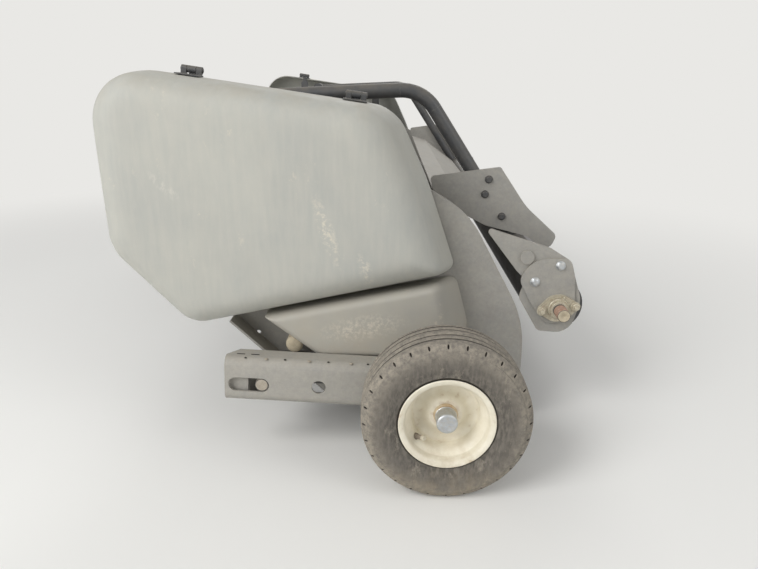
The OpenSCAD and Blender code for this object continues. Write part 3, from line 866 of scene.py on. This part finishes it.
def subdivide(piece: bpy.types.Object) -> None:
    """Rounds a piece with one level of a Subdivision Surface modifier."""
    modify(piece, "round", "SUBSURF", levels=1, render_levels=1)


def joint_place(frame: dict, name: str) -> Vector:
    """Place of a joint in the part's frame, in metres."""
    joint = next(j for j in frame["joints"] if j["name"] == name)
    return Vector(joint["pos_m"])


@dataclass
class MouldedShell:
    """A moulded plastic cover: an outline drawn out of the side plate's plane, with rounded shoulders."""

    side: Side
    node: str
    body: str
    finish: Finish
    corners: tuple[DrawnCorner, ...]
    # Distance out of the side plate and inset of each section, in millimetres
    sections: tuple[tuple[float, float], ...]
    wall: float = 5 * MM

    def build(self) -> None:
        """Builds the shell section by section."""
        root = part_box(Side.RIGHT.of(self.node))[1].y
        depth = self.sections[-1][0]
        piece = Piece(self.side, self.node, self.body, "cover_plastic", self.finish, (self.node,),
                      smooth_deg=50, suffix="_shell")
        ring: list[BMVert] = []
        for out, inset_mm in self.sections:
            corners = inset_corners(drawn(self.corners, out / depth), inset_mm * MM)
            face = rounded_face(piece.bm, corners, root - out * MM, arc=10)
            fresh = [loop.vert for loop in face.loops]
            if out < depth or inset_mm < self.sections[-1][1]:
                bmesh.ops.delete(piece.bm, geom=[face], context="FACES_ONLY")
            for i, vert in enumerate(ring):
                after = (i + 1) % len(ring)
                piece.bm.faces.new((vert, ring[after], fresh[after], fresh[i]))
            ring = fresh
        made = piece.dress()
        modify(made, "wall", "SOLIDIFY", thickness=self.wall, offset=-1.0)
        subdivide(made)


@dataclass
class GaugeWheel:
    """A ribbed implement tyre on a dished steel rim, with its hub, hub cap and valve."""

    side: Side
    centre: Vector
    tyre_r: float
    tyre_w: float
    rim_r: float = 101.5 * MM
    sipes: int = 28
    steps_per_sipe: int = 7

    def build(self) -> None:
        """Builds every piece of the wheel."""
        self.tyre()
        self.rim()
        self.hub()
        self.valve()

    def tyre(self) -> None:
        """Models the tyre's ribs, shoulders, side walls and beads, and cuts the sipes in its shoulders."""
        r = self.tyre_r / MM
        b = self.rim_r / MM
        w = self.tyre_w / 2 / MM
        groove, lip, crown_drop = 9, 1.5, 2.5
        outer = [
            (b + 0.5, 0.78 * w), (b + 9, 0.82 * w), (b + 13, 0.835 * w), (b + 16, 0.89 * w),
            (b + 18, 0.915 * w), (b + 21, 0.905 * w), (b + 36, 0.97 * w), (b + 52, w), (r - 32, w),
            (r - 22, 0.975 * w), (r - 20.5, 0.965 * w), (r - 20, 0.935 * w), (r - 17, 0.93 * w),
            (r - 15, 0.915 * w), (r - 4, 0.80 * w), (r - 2.5, 0.755 * w),
        ]
        # Place of each groove's middle and half its width, as shares of the tyre's half width
        for middle, half in ((0.47, 0.045), (0.19, 0.035)):
            crown = r - crown_drop * middle
            near, far = (middle + half) * w, (middle - half) * w
            outer += [
                (crown - 0.3, near + 3), (crown - lip, near + 0.4), (crown - groove, near - 1),
                (crown - groove, far + 1), (crown - lip, far - 0.4), (crown, far - 3),
            ]
        inner = [(b + 60, 0.90 * w), (b + 20, 0.78 * w), (b + 0.5, 0.68 * w)]
        # The inner shoulder is rounder than the outer one
        tucked_r, tucked_y = 1.5, 8
        far_outer = [
            (radius - tucked_r, tucked_y - out) if radius > r - 6 and out > 0.7 * w else (radius, -out)
            for radius, out in reversed(outer)
        ]
        far_inner = [(radius, -out) for radius, out in reversed(inner)]
        lining = [(r - 14, -0.45 * w), (r - 13, 0.0), (r - 14, 0.45 * w)]
        piece = Piece(self.side, "tyre", "wheel", "tyre_rubber", TYRE_RUBBER,
                      ("wheel_tyre",), smooth_deg=40, second=GROOVE_SHADE_RUBBER)
        steps = self.sipes * self.steps_per_sipe
        faces = spun(piece.bm, outer + far_outer + far_inner + lining + inner, self.centre, steps)
        bmesh.ops.recalc_face_normals(piece.bm, faces=piece.bm.faces)
        self.cut_sipes(piece.bm, faces, r, w)
        self.shade_grooves(piece.bm, r, b, w)
        subdivide(piece.dress())

    def place_on(self, face: BMFace) -> tuple[float, float, float]:
        """Radius and distance from the middle plane of a face's middle, in millimetres, and its angle."""
        place = (face.calc_center_median() - self.centre) / MM
        return math.hypot(place.x, place.z), abs(place.y), math.atan2(place.z, place.x)

    def cut_sipes(self, bm: BMesh, faces: list[BMFace], r: float, w: float) -> None:
        """Sinks one face of the shoulder in each sipe's pitch.

        Args:
            bm: the tyre's mesh.
            faces: its faces.
            r: the tyre's radius in millimetres.
            w: half its width in millimetres.
        """
        depth, edge_width = 7, 0.8
        pitch = math.tau / self.sipes
        chosen = []
        for face in faces:
            radius, out, turn = self.place_on(face)
            on_shoulder = r - 15 < radius < r - 4 and 0.79 * w < out < 0.92 * w
            if on_shoulder and turn % pitch < pitch / self.steps_per_sipe:
                chosen.append(face)
        bmesh.ops.inset_individual(bm, faces=chosen, thickness=edge_width * MM, depth=0.0)
        for end in bmesh.ops.extrude_discrete_faces(bm, faces=chosen)["faces"]:
            bmesh.ops.translate(bm, vec=-end.normal * depth * MM, verts=list(end.verts))
            # The walls and floor of each sipe get the darker groove rubber: painted shade
            for edge in end.edges:
                for face in edge.link_faces:
                    face.material_index = 1

    def shade_grooves(self, bm: BMesh, r: float, b: float, w: float) -> None:
        """Paints shade on the tread's grooves and the crevice at each bead with the darker groove rubber.

        Args:
            bm: the tyre's mesh.
            r: the tyre's radius in millimetres.
            b: the bead's radius in millimetres.
            w: half the tyre's width in millimetres.
        """
        for face in bm.faces:
            radius, out, _ = self.place_on(face)
            in_groove = r - 12 < radius < r - 4 and out < 0.7 * w
            at_bead = b + 9 < radius < b + 15 and out > 0.8 * w
            if in_groove or at_bead:
                face.material_index = 1

    def rim(self) -> None:
        """Models the rim: bead flanges, bead seats, a deep well and a disc with its raised middle."""
        b = self.rim_r / MM
        skin = 3.0
        barrel = [
            (b - 3, 66), (b - 1, 71), (b + 6, 74), (b + 11, 75.5), (b + 13, 73.5), (b + 12, 70.5),
            (b + 6, 69), (b + 1, 66), (b, 60), (b - 1, 50), (b - 10, 42), (b - 16, 30), (b - 17, 12),
            (b - 17, -30), (b - 12, -42), (b - 1, -50), (b, -60), (b + 1, -66), (b + 6, -69),
            (b + 12, -70.5), (b + 13, -73.5), (b + 11, -75.5), (b + 6, -74), (b - 1, -71), (b - 3, -66),
            (b - 4, -50), (b - 15, -42), (b - 20, -30), (b - 20, -2),
        ]
        disc_back = [(b - 24, 0), (66, -1), (54, 1), (46, 10), (40, 20), (25, 23)]
        disc_front = [
            (25, 23 + skin), (40, 20 + skin), (47, 11 + skin), (55, 2 + skin), (66, skin),
            (b - 26, 1 + skin), (b - 20, 9), (b - 19.5, 30), (b - 13, 43), (b - 4, 51),
        ]
        piece = Piece(self.side, "rim", "wheel", "rim_paint", RIM_ENAMEL, ("wheel_rim",), smooth_deg=40)
        spun(piece.bm, barrel + disc_back + disc_front, self.centre, 96)
        subdivide(piece.dress())

    def hub(self) -> None:
        """Models the hub's barrel and the cap over the axle's nut."""
        barrel = Piece(self.side, "hub_barrel", "wheel", "zinc_plate", STAINED_HUB, ("wheel_hub",))
        rings = [(-60, 30), (22, 30), (27, 29), (30, 26.5), (34, 26), (35, 20)]
        stack(barrel.bm, self.centre, OUTWARDS, rings, 40)
        barrel.dress()
        cap = Piece(self.side, "hub_cap", "wheel", "zinc_plate", WHITE_ZINC)
        rings = [
            (33, 26), (35, 26), (35.6, 25.2), (67, 25.2), (69.5, 24.2), (71.2, 21.5), (72, 17), (71.5, 8),
        ]
        stack(cap.bm, self.centre, OUTWARDS, rings, 40)
        cap.dress()

    def valve(self) -> None:
        """Models the rubber valve stem that leans in from the well's wall, and its cap."""
        angle = math.radians(216)
        foot_r, foot_out = self.rim_r / MM - 15, 38
        tip_r, tip_out = self.rim_r / MM - 37, 68
        radial = Vector((math.cos(angle), 0.0, math.sin(angle)))
        way = (radial * (tip_r - foot_r) + OUTWARDS * (tip_out - foot_out)).normalized()
        foot = self.centre + (radial * foot_r + OUTWARDS * foot_out) * MM
        piece = Piece(self.side, "valve_stem", "wheel", "tyre_rubber", STEM_RUBBER)
        stack(piece.bm, foot, way, [(-5, 8.5), (3, 7.8), (6, 6.2), (24, 5.4), (25, 5.8), (30, 5.8)], 16)
        piece.dress()
        cap = Piece(self.side, "valve_cap", "wheel", "zinc_plate", YELLOW_ZINC)
        stack(cap.bm, foot, way, [(29, 6.2), (36, 6.2), (37.5, 4.8)], 16)
        cap.dress()


@dataclass
class LiftTube:
    """The bent tube from the windguard's hinge forward and down to its cross tube."""

    side: Side
    hinge: Vector
    y: float
    knee: Vector = field(default_factory=lambda: Vector((0.604, 0.0, 0.236)))
    cross: Vector = field(default_factory=lambda: Vector((0.888, 0.0, -0.197)))
    radius: float = 20 * MM
    bend: float = 110 * MM
    # Half the width of the hinge eye
    eye_half: float = 30 * MM

    def build(self) -> None:
        """Sweeps the tube with two straights and one spun bend, and adds its hinge eye."""
        start, knee, end = (Vector((p.x, self.y, p.z)) for p in (self.hinge, self.knee, self.cross))
        up = (knee - start).normalized()
        down = (end - knee).normalized()
        turn = up.angle(down)
        tangent = self.bend * math.tan(turn / 2)
        inside = Vector((up.z, 0.0, -up.x))
        piece = Piece(self.side, "lift_tube_bend", "windguard", "frame_paint", FRAME_PAINT,
                      ("lift_tube",), smooth_deg=50)
        first = knee - up * tangent
        root = start + up * self.radius
        face = round_face(piece.bm, self.radius, root, up, 28)
        face = push(piece.bm, face, first - root)
        spin = bmesh.ops.spin(
            piece.bm, geom=[face], cent=first + inside * self.bend, axis=ACROSS, angle=turn, steps=12
        )
        face = next(g for g in spin["geom_last"] if isinstance(g, BMFace))
        push(piece.bm, face, end - (knee + down * tangent))
        bore, outside, width = 17, 27.5, 2 * self.eye_half / MM
        eye = [(bore, 0), (outside, 0), (outside, width), (bore, width)]
        spun(piece.bm, eye, start + ACROSS * self.eye_half, 40)
        piece.dress()


@dataclass
class RollerBearing:
    """The flange bearing at one end of the guard roller, with its bolts, grease nipple and shaft end."""

    side: Side
    centre: Vector
    face_y: float
    shaft_y: float
    # Shaft radius in millimetres
    shaft_r: float = 17.0
    tilt_deg: float = 8.0

    def build(self) -> None:
        """Builds the flange, its insert and the shaft's bare end."""
        seat = Vector((self.centre.x, self.face_y, self.centre.z))
        flange = Piece(self.side, "bearing_flange", "windguard", "zinc_plate", YELLOW_ZINC,
                       ("roller_bearing",))
        turn = Matrix.Rotation(math.radians(-self.tilt_deg), 3, "Y")
        lozenge = [(-64, 0, 15), (-18, 37, 30), (18, 37, 30), (64, 0, 15), (18, -37, 30), (-18, -37, 30)]
        bolt_reach, thick, chamfer = 46, 11 * MM, 2 * MM
        face = rounded_face(flange.bm, millimetres(lozenge), 0.0)
        face = push(flange.bm, face, OUTWARDS * thick)
        bmesh.ops.inset_region(flange.bm, faces=[face], thickness=chamfer, depth=chamfer / 2)
        bmesh.ops.rotate(flange.bm, verts=flange.bm.verts, matrix=turn, cent=(0, 0, 0))
        bmesh.ops.translate(flange.bm, verts=flange.bm.verts, vec=seat)
        bore = self.shaft_r
        insert = [(bore + 1, 4), (29, 11), (29, 15), (27, 17), (24, 15.5), (bore + 6, 15.5), (bore + 6, 24),
                  (bore + 5, 25), (bore + 0.6, 25)]
        spun(flange.bm, insert, seat, 48)
        nipple, way = seat + Vector((10, -13, 27)) * MM, Vector((0.3, -0.3, 0.9)).normalized()
        stack(flange.bm, nipple, way, [(0, 4), (3, 4), (3.2, 2.6), (8, 2.6), (9.5, 1.6)], 12)
        flange.dress()
        bolts = Piece(self.side, "bearing_bolts", "windguard", "zinc_plate", YELLOW_ZINC)
        for reach in (-bolt_reach, bolt_reach):
            place = seat + turn @ Vector((reach, -12, 0.0)) * MM
            bolt(bolts.bm, place, 12)
            stack(bolts.bm, place, OUTWARDS, [(8, 6), (15, 6), (16, 5)], 16)
        bolts.dress()
        shaft = Piece(self.side, "roller_shaft_end", "guard_roller", "frame_paint", RUSTED_SHAFT)
        bare, shown = 40, 38.5
        foot = Vector((self.centre.x, self.shaft_y + bare * MM, self.centre.z))
        stack(shaft.bm, foot, OUTWARDS, [(0, bore + 0.3), (shown, bore + 0.3)], 36)
        shaft.dress()
        end = Piece(self.side, "roller_shaft_face", "guard_roller", "frame_paint", SOIL_CRUST)
        rings = [(shown, bore + 0.25), (bare + 0.5, bore - 1.5), (bare + 0.6, 4), (bare - 2, 0.4)]
        stack(end.bm, foot, OUTWARDS, rings, 36)
        end.dress()


@dataclass
class TineReel:
    """Double spring tines on the reel's bars: straight fingers, coils round the bar and a clamped bridge."""

    centre: Vector
    bar_r: float = 128 * MM
    bar_d: float = 34 * MM
    tip_r: float = 281 * MM
    pitch: float = 70 * MM
    wire_d: float = 7 * MM
    bars: int = 4
    per_side: int = 7
    turns: float = 2.75
    first_deg: float = 45.0

    def build(self) -> None:
        """Builds one double tine and copies it along every bar."""
        piece = Piece(None, "spring_tines", "reel", "spring_steel", SPRING_STEEL, ("reel_tines",),
                      smooth_deg=60)
        half = self.half_tine()
        for bar in range(self.bars):
            turn = Matrix.Rotation(-math.radians(self.first_deg) - bar * math.tau / self.bars, 4, "Y")
            for step in range(-self.per_side, self.per_side + 1):
                place = Matrix.Translation(self.centre + ACROSS * step * 2 * self.pitch)
                for flip in (1.0, -1.0):
                    piece.bm.from_mesh(half)
                    fresh = piece.bm.verts[-len(half.vertices):]
                    matrix = place @ turn @ Matrix.Diagonal((1, flip, 1, 1))
                    bmesh.ops.transform(piece.bm, matrix=matrix, verts=fresh)
        bpy.data.meshes.remove(half)
        piece.dress()

    def half_tine(self) -> bpy.types.Mesh:
        """Models half a double tine for a bar on the +X axis.

        Returns:
            The half's mesh, to copy from.
        """
        bm = bmesh.new()
        wire = self.wire_d / 2
        tip_share, tip_length, play, coil_gap = 0.8, 4 * MM, 0.5 * MM, 0.6 * MM
        start = Vector((self.tip_r, self.pitch / 2, self.bar_d / 2 + wire + play))
        inwards = Vector((-1.0, 0.0, 0.0))
        face = round_face(bm, wire * tip_share, start, inwards, 6)
        face = push(bm, face, inwards * tip_length, 1 / tip_share)
        face = push(bm, face, inwards * (self.tip_r - self.bar_r - tip_length))
        steps = 26
        drop = -ACROSS * (self.wire_d + coil_gap) * self.turns / steps
        spin = bmesh.ops.spin(
            bm, geom=[face], cent=Vector((self.bar_r, 0.0, 0.0)), axis=ACROSS, dvec=drop,
            angle=-self.turns * math.tau, steps=steps,
        )
        face = next(g for g in spin["geom_last"] if isinstance(g, BMFace))
        centre = face.calc_center_median()
        bridge_turn = Matrix.Rotation(math.radians(60), 3, "X")
        bmesh.ops.rotate(bm, verts=list(face.verts), cent=centre, matrix=bridge_turn)
        push(bm, face, Vector((0.0, -centre.y, 0.0)))
        mesh = bpy.data.meshes.new("half_tine")
        bm.to_mesh(mesh)
        bm.free()
        return mesh


@dataclass
class Auger:
    """A stub auger: a tube with one helical flight, which feeds crop towards the throat."""

    side: Side
    centre: Vector
    inner_y: float
    flight_r: float
    outer_y: float = -1080 * MM
    tube_r: float = 57 * MM
    journal_r: float = 17.5 * MM
    pitch: float = 280 * MM
    flight_t: float = 5 * MM

    def build(self) -> None:
        """Builds the tube, its journals and the flight."""
        piece = Piece(self.side, "auger_flight", "auger", "crop_sheet", CROP_SHEET,
                      ("auger",), smooth_deg=40)
        length = abs(self.outer_y - self.inner_y)
        start = Vector((self.centre.x, self.inner_y, self.centre.z))
        steps = 96
        travel = length - self.flight_t
        reach = (self.tube_r - 2 * MM, self.flight_r)
        verts = [piece.bm.verts.new(start + Vector((r, 0.0, 0.0))) for r in reach]
        edge = piece.bm.edges.new(verts)
        bmesh.ops.spin(
            piece.bm, geom=verts + [edge], cent=start, axis=-ACROSS, dvec=OUTWARDS * travel / steps,
            angle=math.tau * travel / self.pitch, steps=steps,
        )
        bmesh.ops.solidify(piece.bm, geom=piece.bm.faces[:], thickness=self.flight_t)
        tube, journal, end = self.tube_r / MM, self.journal_r / MM, length / MM
        stack(piece.bm, start, OUTWARDS, [(0, tube - 3), (3, tube), (end - 3, tube), (end, tube - 3)], 64)
        stack(piece.bm, start, OUTWARDS, [(end - 1, journal), (end + 24, journal)], 32)
        piece.dress()


@dataclass
class Hardware:
    """Bolts, weld beads, studs and pins on one side's plates, a joined piece for each body and finish."""

    side: Side
    frame: dict
    # Places in millimetres, x and z
    plate_domes: tuple[tuple[float, float], ...] = ((979, -220), (913, -266))
    cheek_bolts: tuple[tuple[float, float], ...] = ((795, -8), (786, -50), (837, -114))
    stud_at: tuple[float, float] = (258, -424)
    # Distances of outer faces from the header's middle plane, in millimetres
    plate_out: float = 1100
    lid_out: float = 1114
    pin_out: float = 1285
    arm_out: float = 1300
    # The wheel arm's slope and its upper flange, and places along it from the pivot in millimetres
    arm_slope_deg: float = 3.0
    flange_top: float = 70
    pale_along: tuple[float, ...] = (10, 120, 227, 334)
    dark_along: tuple[float, ...] = (-43, 58, 169, 270)
    slots_along: tuple[float, ...] = (-59, -22)

    def build(self) -> None:
        """Builds the side's hardware."""
        self.guard_bolts()
        self.frame_bolts()
        self.stud()
        self.axle_weld()
        self.flange_plugs()
        self.pivot_pin()

    def guard_bolts(self) -> None:
        """Bolts the bearing plate to the roller plate and the cheek plate to the cross tube."""
        rows = (
            ("plate_bolts", "zinc_plate", WHITE_ZINC, "bearing_plate", self.plate_domes, 12, Head.DOME),
            ("cheek_bolts", "frame_paint", FRAME_PAINT, "cheek_plate", self.cheek_bolts, 10, Head.HEX),
        )
        for name, slot, finish, node, places, size, head in rows:
            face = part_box(Side.RIGHT.of(node))[0].y
            piece = Piece(self.side, name, "windguard", slot, finish)
            for x, z in places:
                bolt(piece.bm, Vector((x * MM, face, z * MM)), size, head)
            piece.dress()

    def frame_bolts(self) -> None:
        """Bolts the reel's and auger's bearing housings to the side plate."""
        reach, count = 39 * MM, 4
        piece = Piece(self.side, "housing_bolts", "frame", "zinc_plate", WHITE_ZINC)
        for name in ("reel_spin", "auger_spin_R"):
            centre = joint_place(self.frame, name) + OUTWARDS * self.lid_out * MM
            for k in range(count):
                turn = math.tau * (k + 0.5) / count
                bolt(piece.bm, centre + Vector((math.cos(turn), 0.0, math.sin(turn))) * reach, 10)
        piece.dress()

    def stud(self) -> None:
        """Crusts the stud between the wheel arm and the lower panel with soil."""
        radius, length, crown = 23.4, 74.5, 12
        root = Vector((self.stud_at[0], -self.plate_out, self.stud_at[1])) * MM
        piece = Piece(self.side, "stud_crust", "frame", "plate_paint", SOIL_CRUST, smooth_deg=60)
        rings = [(0.0, radius), (length, radius)]
        rings += [(length + crown * math.sin(a), radius * math.cos(a)) for a in (0.35, 0.7, 1.05, 1.3, 1.5)]
        stack(piece.bm, root, OUTWARDS, rings, 40)
        piece.dress()

    def axle_weld(self) -> None:
        """Welds the axle boss to the wheel arm."""
        centre = joint_place(self.frame, "wheel_spin_R") + OUTWARDS * self.arm_out * MM
        piece = Piece(self.side, "axle_weld", "wheel_arm", "plate_paint", ARM_PAINT)
        weld_ring(piece.bm, centre, 46, 4)
        piece.dress()

    def flange_plugs(self) -> None:
        """Sets weld plugs into the wheel arm's upper flange, and paints the shade of its holes and slots with
        dark discs and inlays.
        """
        pivot = joint_place(self.frame, "wheel_height_R")
        slope = Matrix.Rotation(math.radians(self.arm_slope_deg), 3, "Y")
        up = slope @ Vector((0.0, 0.0, 1.0))
        pale = Piece(self.side, "plug_welds", "wheel_arm", "plate_paint", DUSTY_STEEL)
        dark = Piece(self.side, "dark_plugs", "wheel_arm", "plate_paint", HOLE_SHADE)
        rows = (
            (pale, self.pale_along, 1288, [(-1, 5), (0.2, 4.8), (1.2, 3.2), (1.5, 1)], 16),
            # Dark discs where the flange has holes: painted shade
            (dark, self.dark_along, 1287, [(-1, 3), (0.3, 3), (0.5, 2)], 14),
        )
        for piece, places, out, rings, segments in rows:
            for along in places:
                foot = pivot + (slope @ Vector((along, 0.0, self.flange_top)) + OUTWARDS * out) * MM
                stack(piece.bm, foot, up, rings, segments)
        # Dark inlays in the outline of each slot: painted shade of the open slot
        half_length, round_r, near, far = 11, 2.4, 1263.5, 1268
        for along in self.slots_along:
            low, high = along - half_length, along + half_length
            slot = ((low, -far), (low, -near), (high, -near), (high, -far))
            face = rounded_face(dark.bm, millimetres((x, y, round_r) for x, y in slot), 0.0)
            for vert in face.verts:
                on_flange = slope @ Vector((vert.co.x, 0.0, (self.flange_top + 0.3) * MM))
                vert.co = pivot + on_flange + ACROSS * vert.co.z
            push(dark.bm, face, up * -MM)
        pale.dress()
        dark.dress()

    def pivot_pin(self) -> None:
        """Dusts the end of the wheel arm's pivot pin."""
        foot = joint_place(self.frame, "wheel_height_R") + OUTWARDS * self.pin_out * MM
        radius = 17.2
        piece = Piece(self.side, "pivot_pin_end", "frame", "frame_paint", DUSTY_STEEL)
        rings = [(0, radius), (11.5, radius), (13.2, radius - 2), (13.3, 3)]
        stack(piece.bm, foot, OUTWARDS, rings, 32)
        piece.dress()


@dataclass
class Studio:
    """Pale floor, soft lamps and the camera at the photo's viewing angle."""

    floor_z: float
    # Camera place, downward pitch and turn to the left, worked out from the wheel's ellipse and the horizon
    camera: Vector = field(default_factory=lambda: Vector((0.514, -2.781, 0.260)))
    pitch_deg: float = 17.72
    yaw_deg: float = 0.94
    focal_px: float = 640.0
    floor_colour: str = "#F1F0EC"
    backdrop_colour: str = "#E9E8E5"
    world_colour: str = "#F4F5F7"
    world_strength: float = 0.43
    # Distances from the origin between which the floor fades
    fade_m: tuple[float, float] = (1.4, 3.8)

    def build(self) -> None:
        """Builds the floor, the lamps, the world and the camera."""
        self.floor()
        self.lamps()
        self.world()
        self.aim()
        bpy.context.scene.view_settings.view_transform = "Standard"

    def floor(self) -> None:
        """Lays a wide pale floor under the wheels, which fades into the backdrop away from the part."""
        bm = bmesh.new()
        bmesh.ops.create_grid(
            bm, x_segments=1, y_segments=1, size=30.0, matrix=Matrix.Translation((0, 0, self.floor_z))
        )
        mesh = bpy.data.meshes.new("floor")
        bm.to_mesh(mesh)
        bm.free()
        floor = bpy.data.objects.new("floor", mesh)
        bpy.context.scene.collection.objects.link(floor)
        made = bpy.data.materials.new("pale_floor")
        made.use_nodes = True
        tree = made.node_tree
        tree.nodes.clear()
        place = add(tree, "ShaderNodeTexCoord").outputs["Object"]
        reach = calculate(tree, "LENGTH", place, vectors=True)
        near, gone = self.fade_m
        far = add(
            tree, "ShaderNodeMapRange", {"Value": reach, "From Min": near, "From Max": gone},
            interpolation_type="SMOOTHSTEP",
        ).outputs[0]
        fade = calculate(tree, "MULTIPLY", far, self.seen_directly(tree))
        matt = add(tree, "ShaderNodeBsdfDiffuse", {"Color": linear(self.floor_colour)})
        glow = add(tree, "ShaderNodeEmission", {"Color": linear(self.backdrop_colour)})
        mixed = add(tree, "ShaderNodeMixShader", {0: fade, 1: matt.outputs[0], 2: glow.outputs[0]})
        add(tree, "ShaderNodeOutputMaterial", {"Surface": mixed.outputs[0]})
        floor.data.materials.append(made)

    @staticmethod
    def seen_directly(tree: Tree) -> Socket:
        """Returns 1 for rays from the camera and from mirror-like metal, and 0 for the others."""
        path = add(tree, "ShaderNodeLightPath").outputs
        return calculate(tree, "MAXIMUM", path["Is Camera Ray"], path["Is Glossy Ray"])

    def lamps(self) -> None:
        """Hangs a large key lamp at the front left, fills low and at the right, and a rim lamp behind."""
        rows = (
            ("key", (-2.8, -4.2, 3.2), 3.0, 165.0),
            ("low_fill", (-3.2, -5.0, 0.5), 3.2, 68.0),
            ("fill", (4.2, -3.6, 2.2), 3.0, 46.0),
            ("back", (1.5, 4.0, 3.2), 3.0, 85.0),
        )
        target = Vector((0.4, -0.9, -0.2))
        for name, place, size, power in rows:
            lamp = bpy.data.lights.new(name, "AREA")
            lamp.shape = "DISK"
            lamp.size = size
            lamp.energy = power
            made = bpy.data.objects.new(name, lamp)
            made.location = place
            made.rotation_euler = (target - Vector(place)).to_track_quat("-Z", "Y").to_euler()
            bpy.context.scene.collection.objects.link(made)

    def world(self) -> None:
        """Fills the scene with even pale light, and shows the plain backdrop to the camera."""
        world = bpy.data.worlds.new("studio")
        world.use_nodes = True
        tree = world.node_tree
        tree.nodes.clear()
        light = {"Color": linear(self.world_colour), "Strength": self.world_strength}
        even = add(tree, "ShaderNodeBackground", light)
        shown = add(tree, "ShaderNodeBackground", {"Color": linear(self.backdrop_colour), "Strength": 1.0})
        seen = self.seen_directly(tree)
        mixed = add(tree, "ShaderNodeMixShader", {0: seen, 1: even.outputs[0], 2: shown.outputs[0]})
        add(tree, "ShaderNodeOutputWorld", {"Surface": mixed.outputs[0]})
        bpy.context.scene.world = world

    def aim(self) -> None:
        """Creates the camera and makes it the scene's."""
        lens = bpy.data.cameras.new("camera")
        lens.sensor_width = 36.0
        lens.lens = self.focal_px * lens.sensor_width / PHOTO_SIZE[0]
        made = bpy.data.objects.new("camera", lens)
        made.location = self.camera
        made.rotation_euler = (math.radians(90 - self.pitch_deg), 0.0, math.radians(self.yaw_deg))
        bpy.context.scene.collection.objects.link(made)
        bpy.context.scene.camera = made


COVER_CORNERS: tuple[DrawnCorner, ...] = (
    (-212, 305, 130, 0, 0), (530, 196, 105, -45, 6.6), (614, 14, 500, -50, 0), (697, -232, 30, -50, 18),
    (-7, -362, 80, 0, 0), (-203, -153, 110, 0, 0),
)
PANEL_CORNERS: tuple[DrawnCorner, ...] = (
    (178, -341, 6, 0, 12), (697, -246, 26, -60, 10), (752, -446, 60, -60, 0), (330, -446, 50, 0, 0),
)
COVER_SECTIONS = (
    (0, 0), (2, 0), (60, 2), (90, 4.5), (100, 7.5), (107, 11), (114, 15.5), (122, 22.5), (130, 32),
    (136, 43), (139.5, 54), (141.3, 66), (142, 80), (142, 92),
)
PANEL_SECTIONS = (
    (0, 0), (2, 0), (70, 0), (96, 1), (108, 3), (117, 5.5), (123, 9), (127.5, 14), (129.5, 19), (130, 24),
    (130, 30),
)
SHELLS = (
    ("end_cover", "end_cover", COVER_PLASTIC, COVER_CORNERS, COVER_SECTIONS),
    ("lower_panel", "frame", PANEL_PLASTIC, PANEL_CORNERS, PANEL_SECTIONS),
)


def dress_nodes(frame: dict) -> None:
    """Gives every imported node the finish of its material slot.
    """
    for row in frame["record"]["subparts"]:
        node = frame["nodes"][row["node"]]
        base = row["node"].removesuffix("_R").removesuffix("_L")
        finish = OWN_FINISH.get(base, SLOT_FINISH[row["material_slot"]])
        node.data.materials.clear()
        node.data.materials.append(finish.material())


def main() -> None:
    """Loads the frame and builds the dressed header round it."""
    logging.basicConfig(level=logging.INFO, format="%(message)s")
    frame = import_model()
    dress_nodes(frame)
    wheel = joint_place(frame, "wheel_spin_R")
    tyre_low, tyre_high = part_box("wheel_tyre_R")
    wheel.y = (tyre_low.y + tyre_high.y) / 2
    tube_low, tube_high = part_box("lift_tube_R")
    roller = joint_place(frame, "guard_roller_spin")
    auger_low, auger_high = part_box("auger_R")
    flight_r = (auger_high.z - auger_low.z) / 2
    for side in Side:
        for shell in SHELLS:
            MouldedShell(side, *shell).build()
        GaugeWheel(side, wheel, (tyre_high.x - tyre_low.x) / 2, tyre_high.y - tyre_low.y).build()
        LiftTube(side, joint_place(frame, "windguard_lift"), (tube_low.y + tube_high.y) / 2).build()
        RollerBearing(side, roller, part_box("bearing_plate_R")[0].y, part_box("guard_roller")[0].y).build()
        Auger(side, joint_place(frame, "auger_spin_R"), auger_high.y, flight_r).build()
    TineReel(joint_place(frame, "reel_spin")).build()
    for side in Side:
        Hardware(side, frame).build()
    Studio(tyre_low.z).build()


if __name__ == "__main__":
    main()
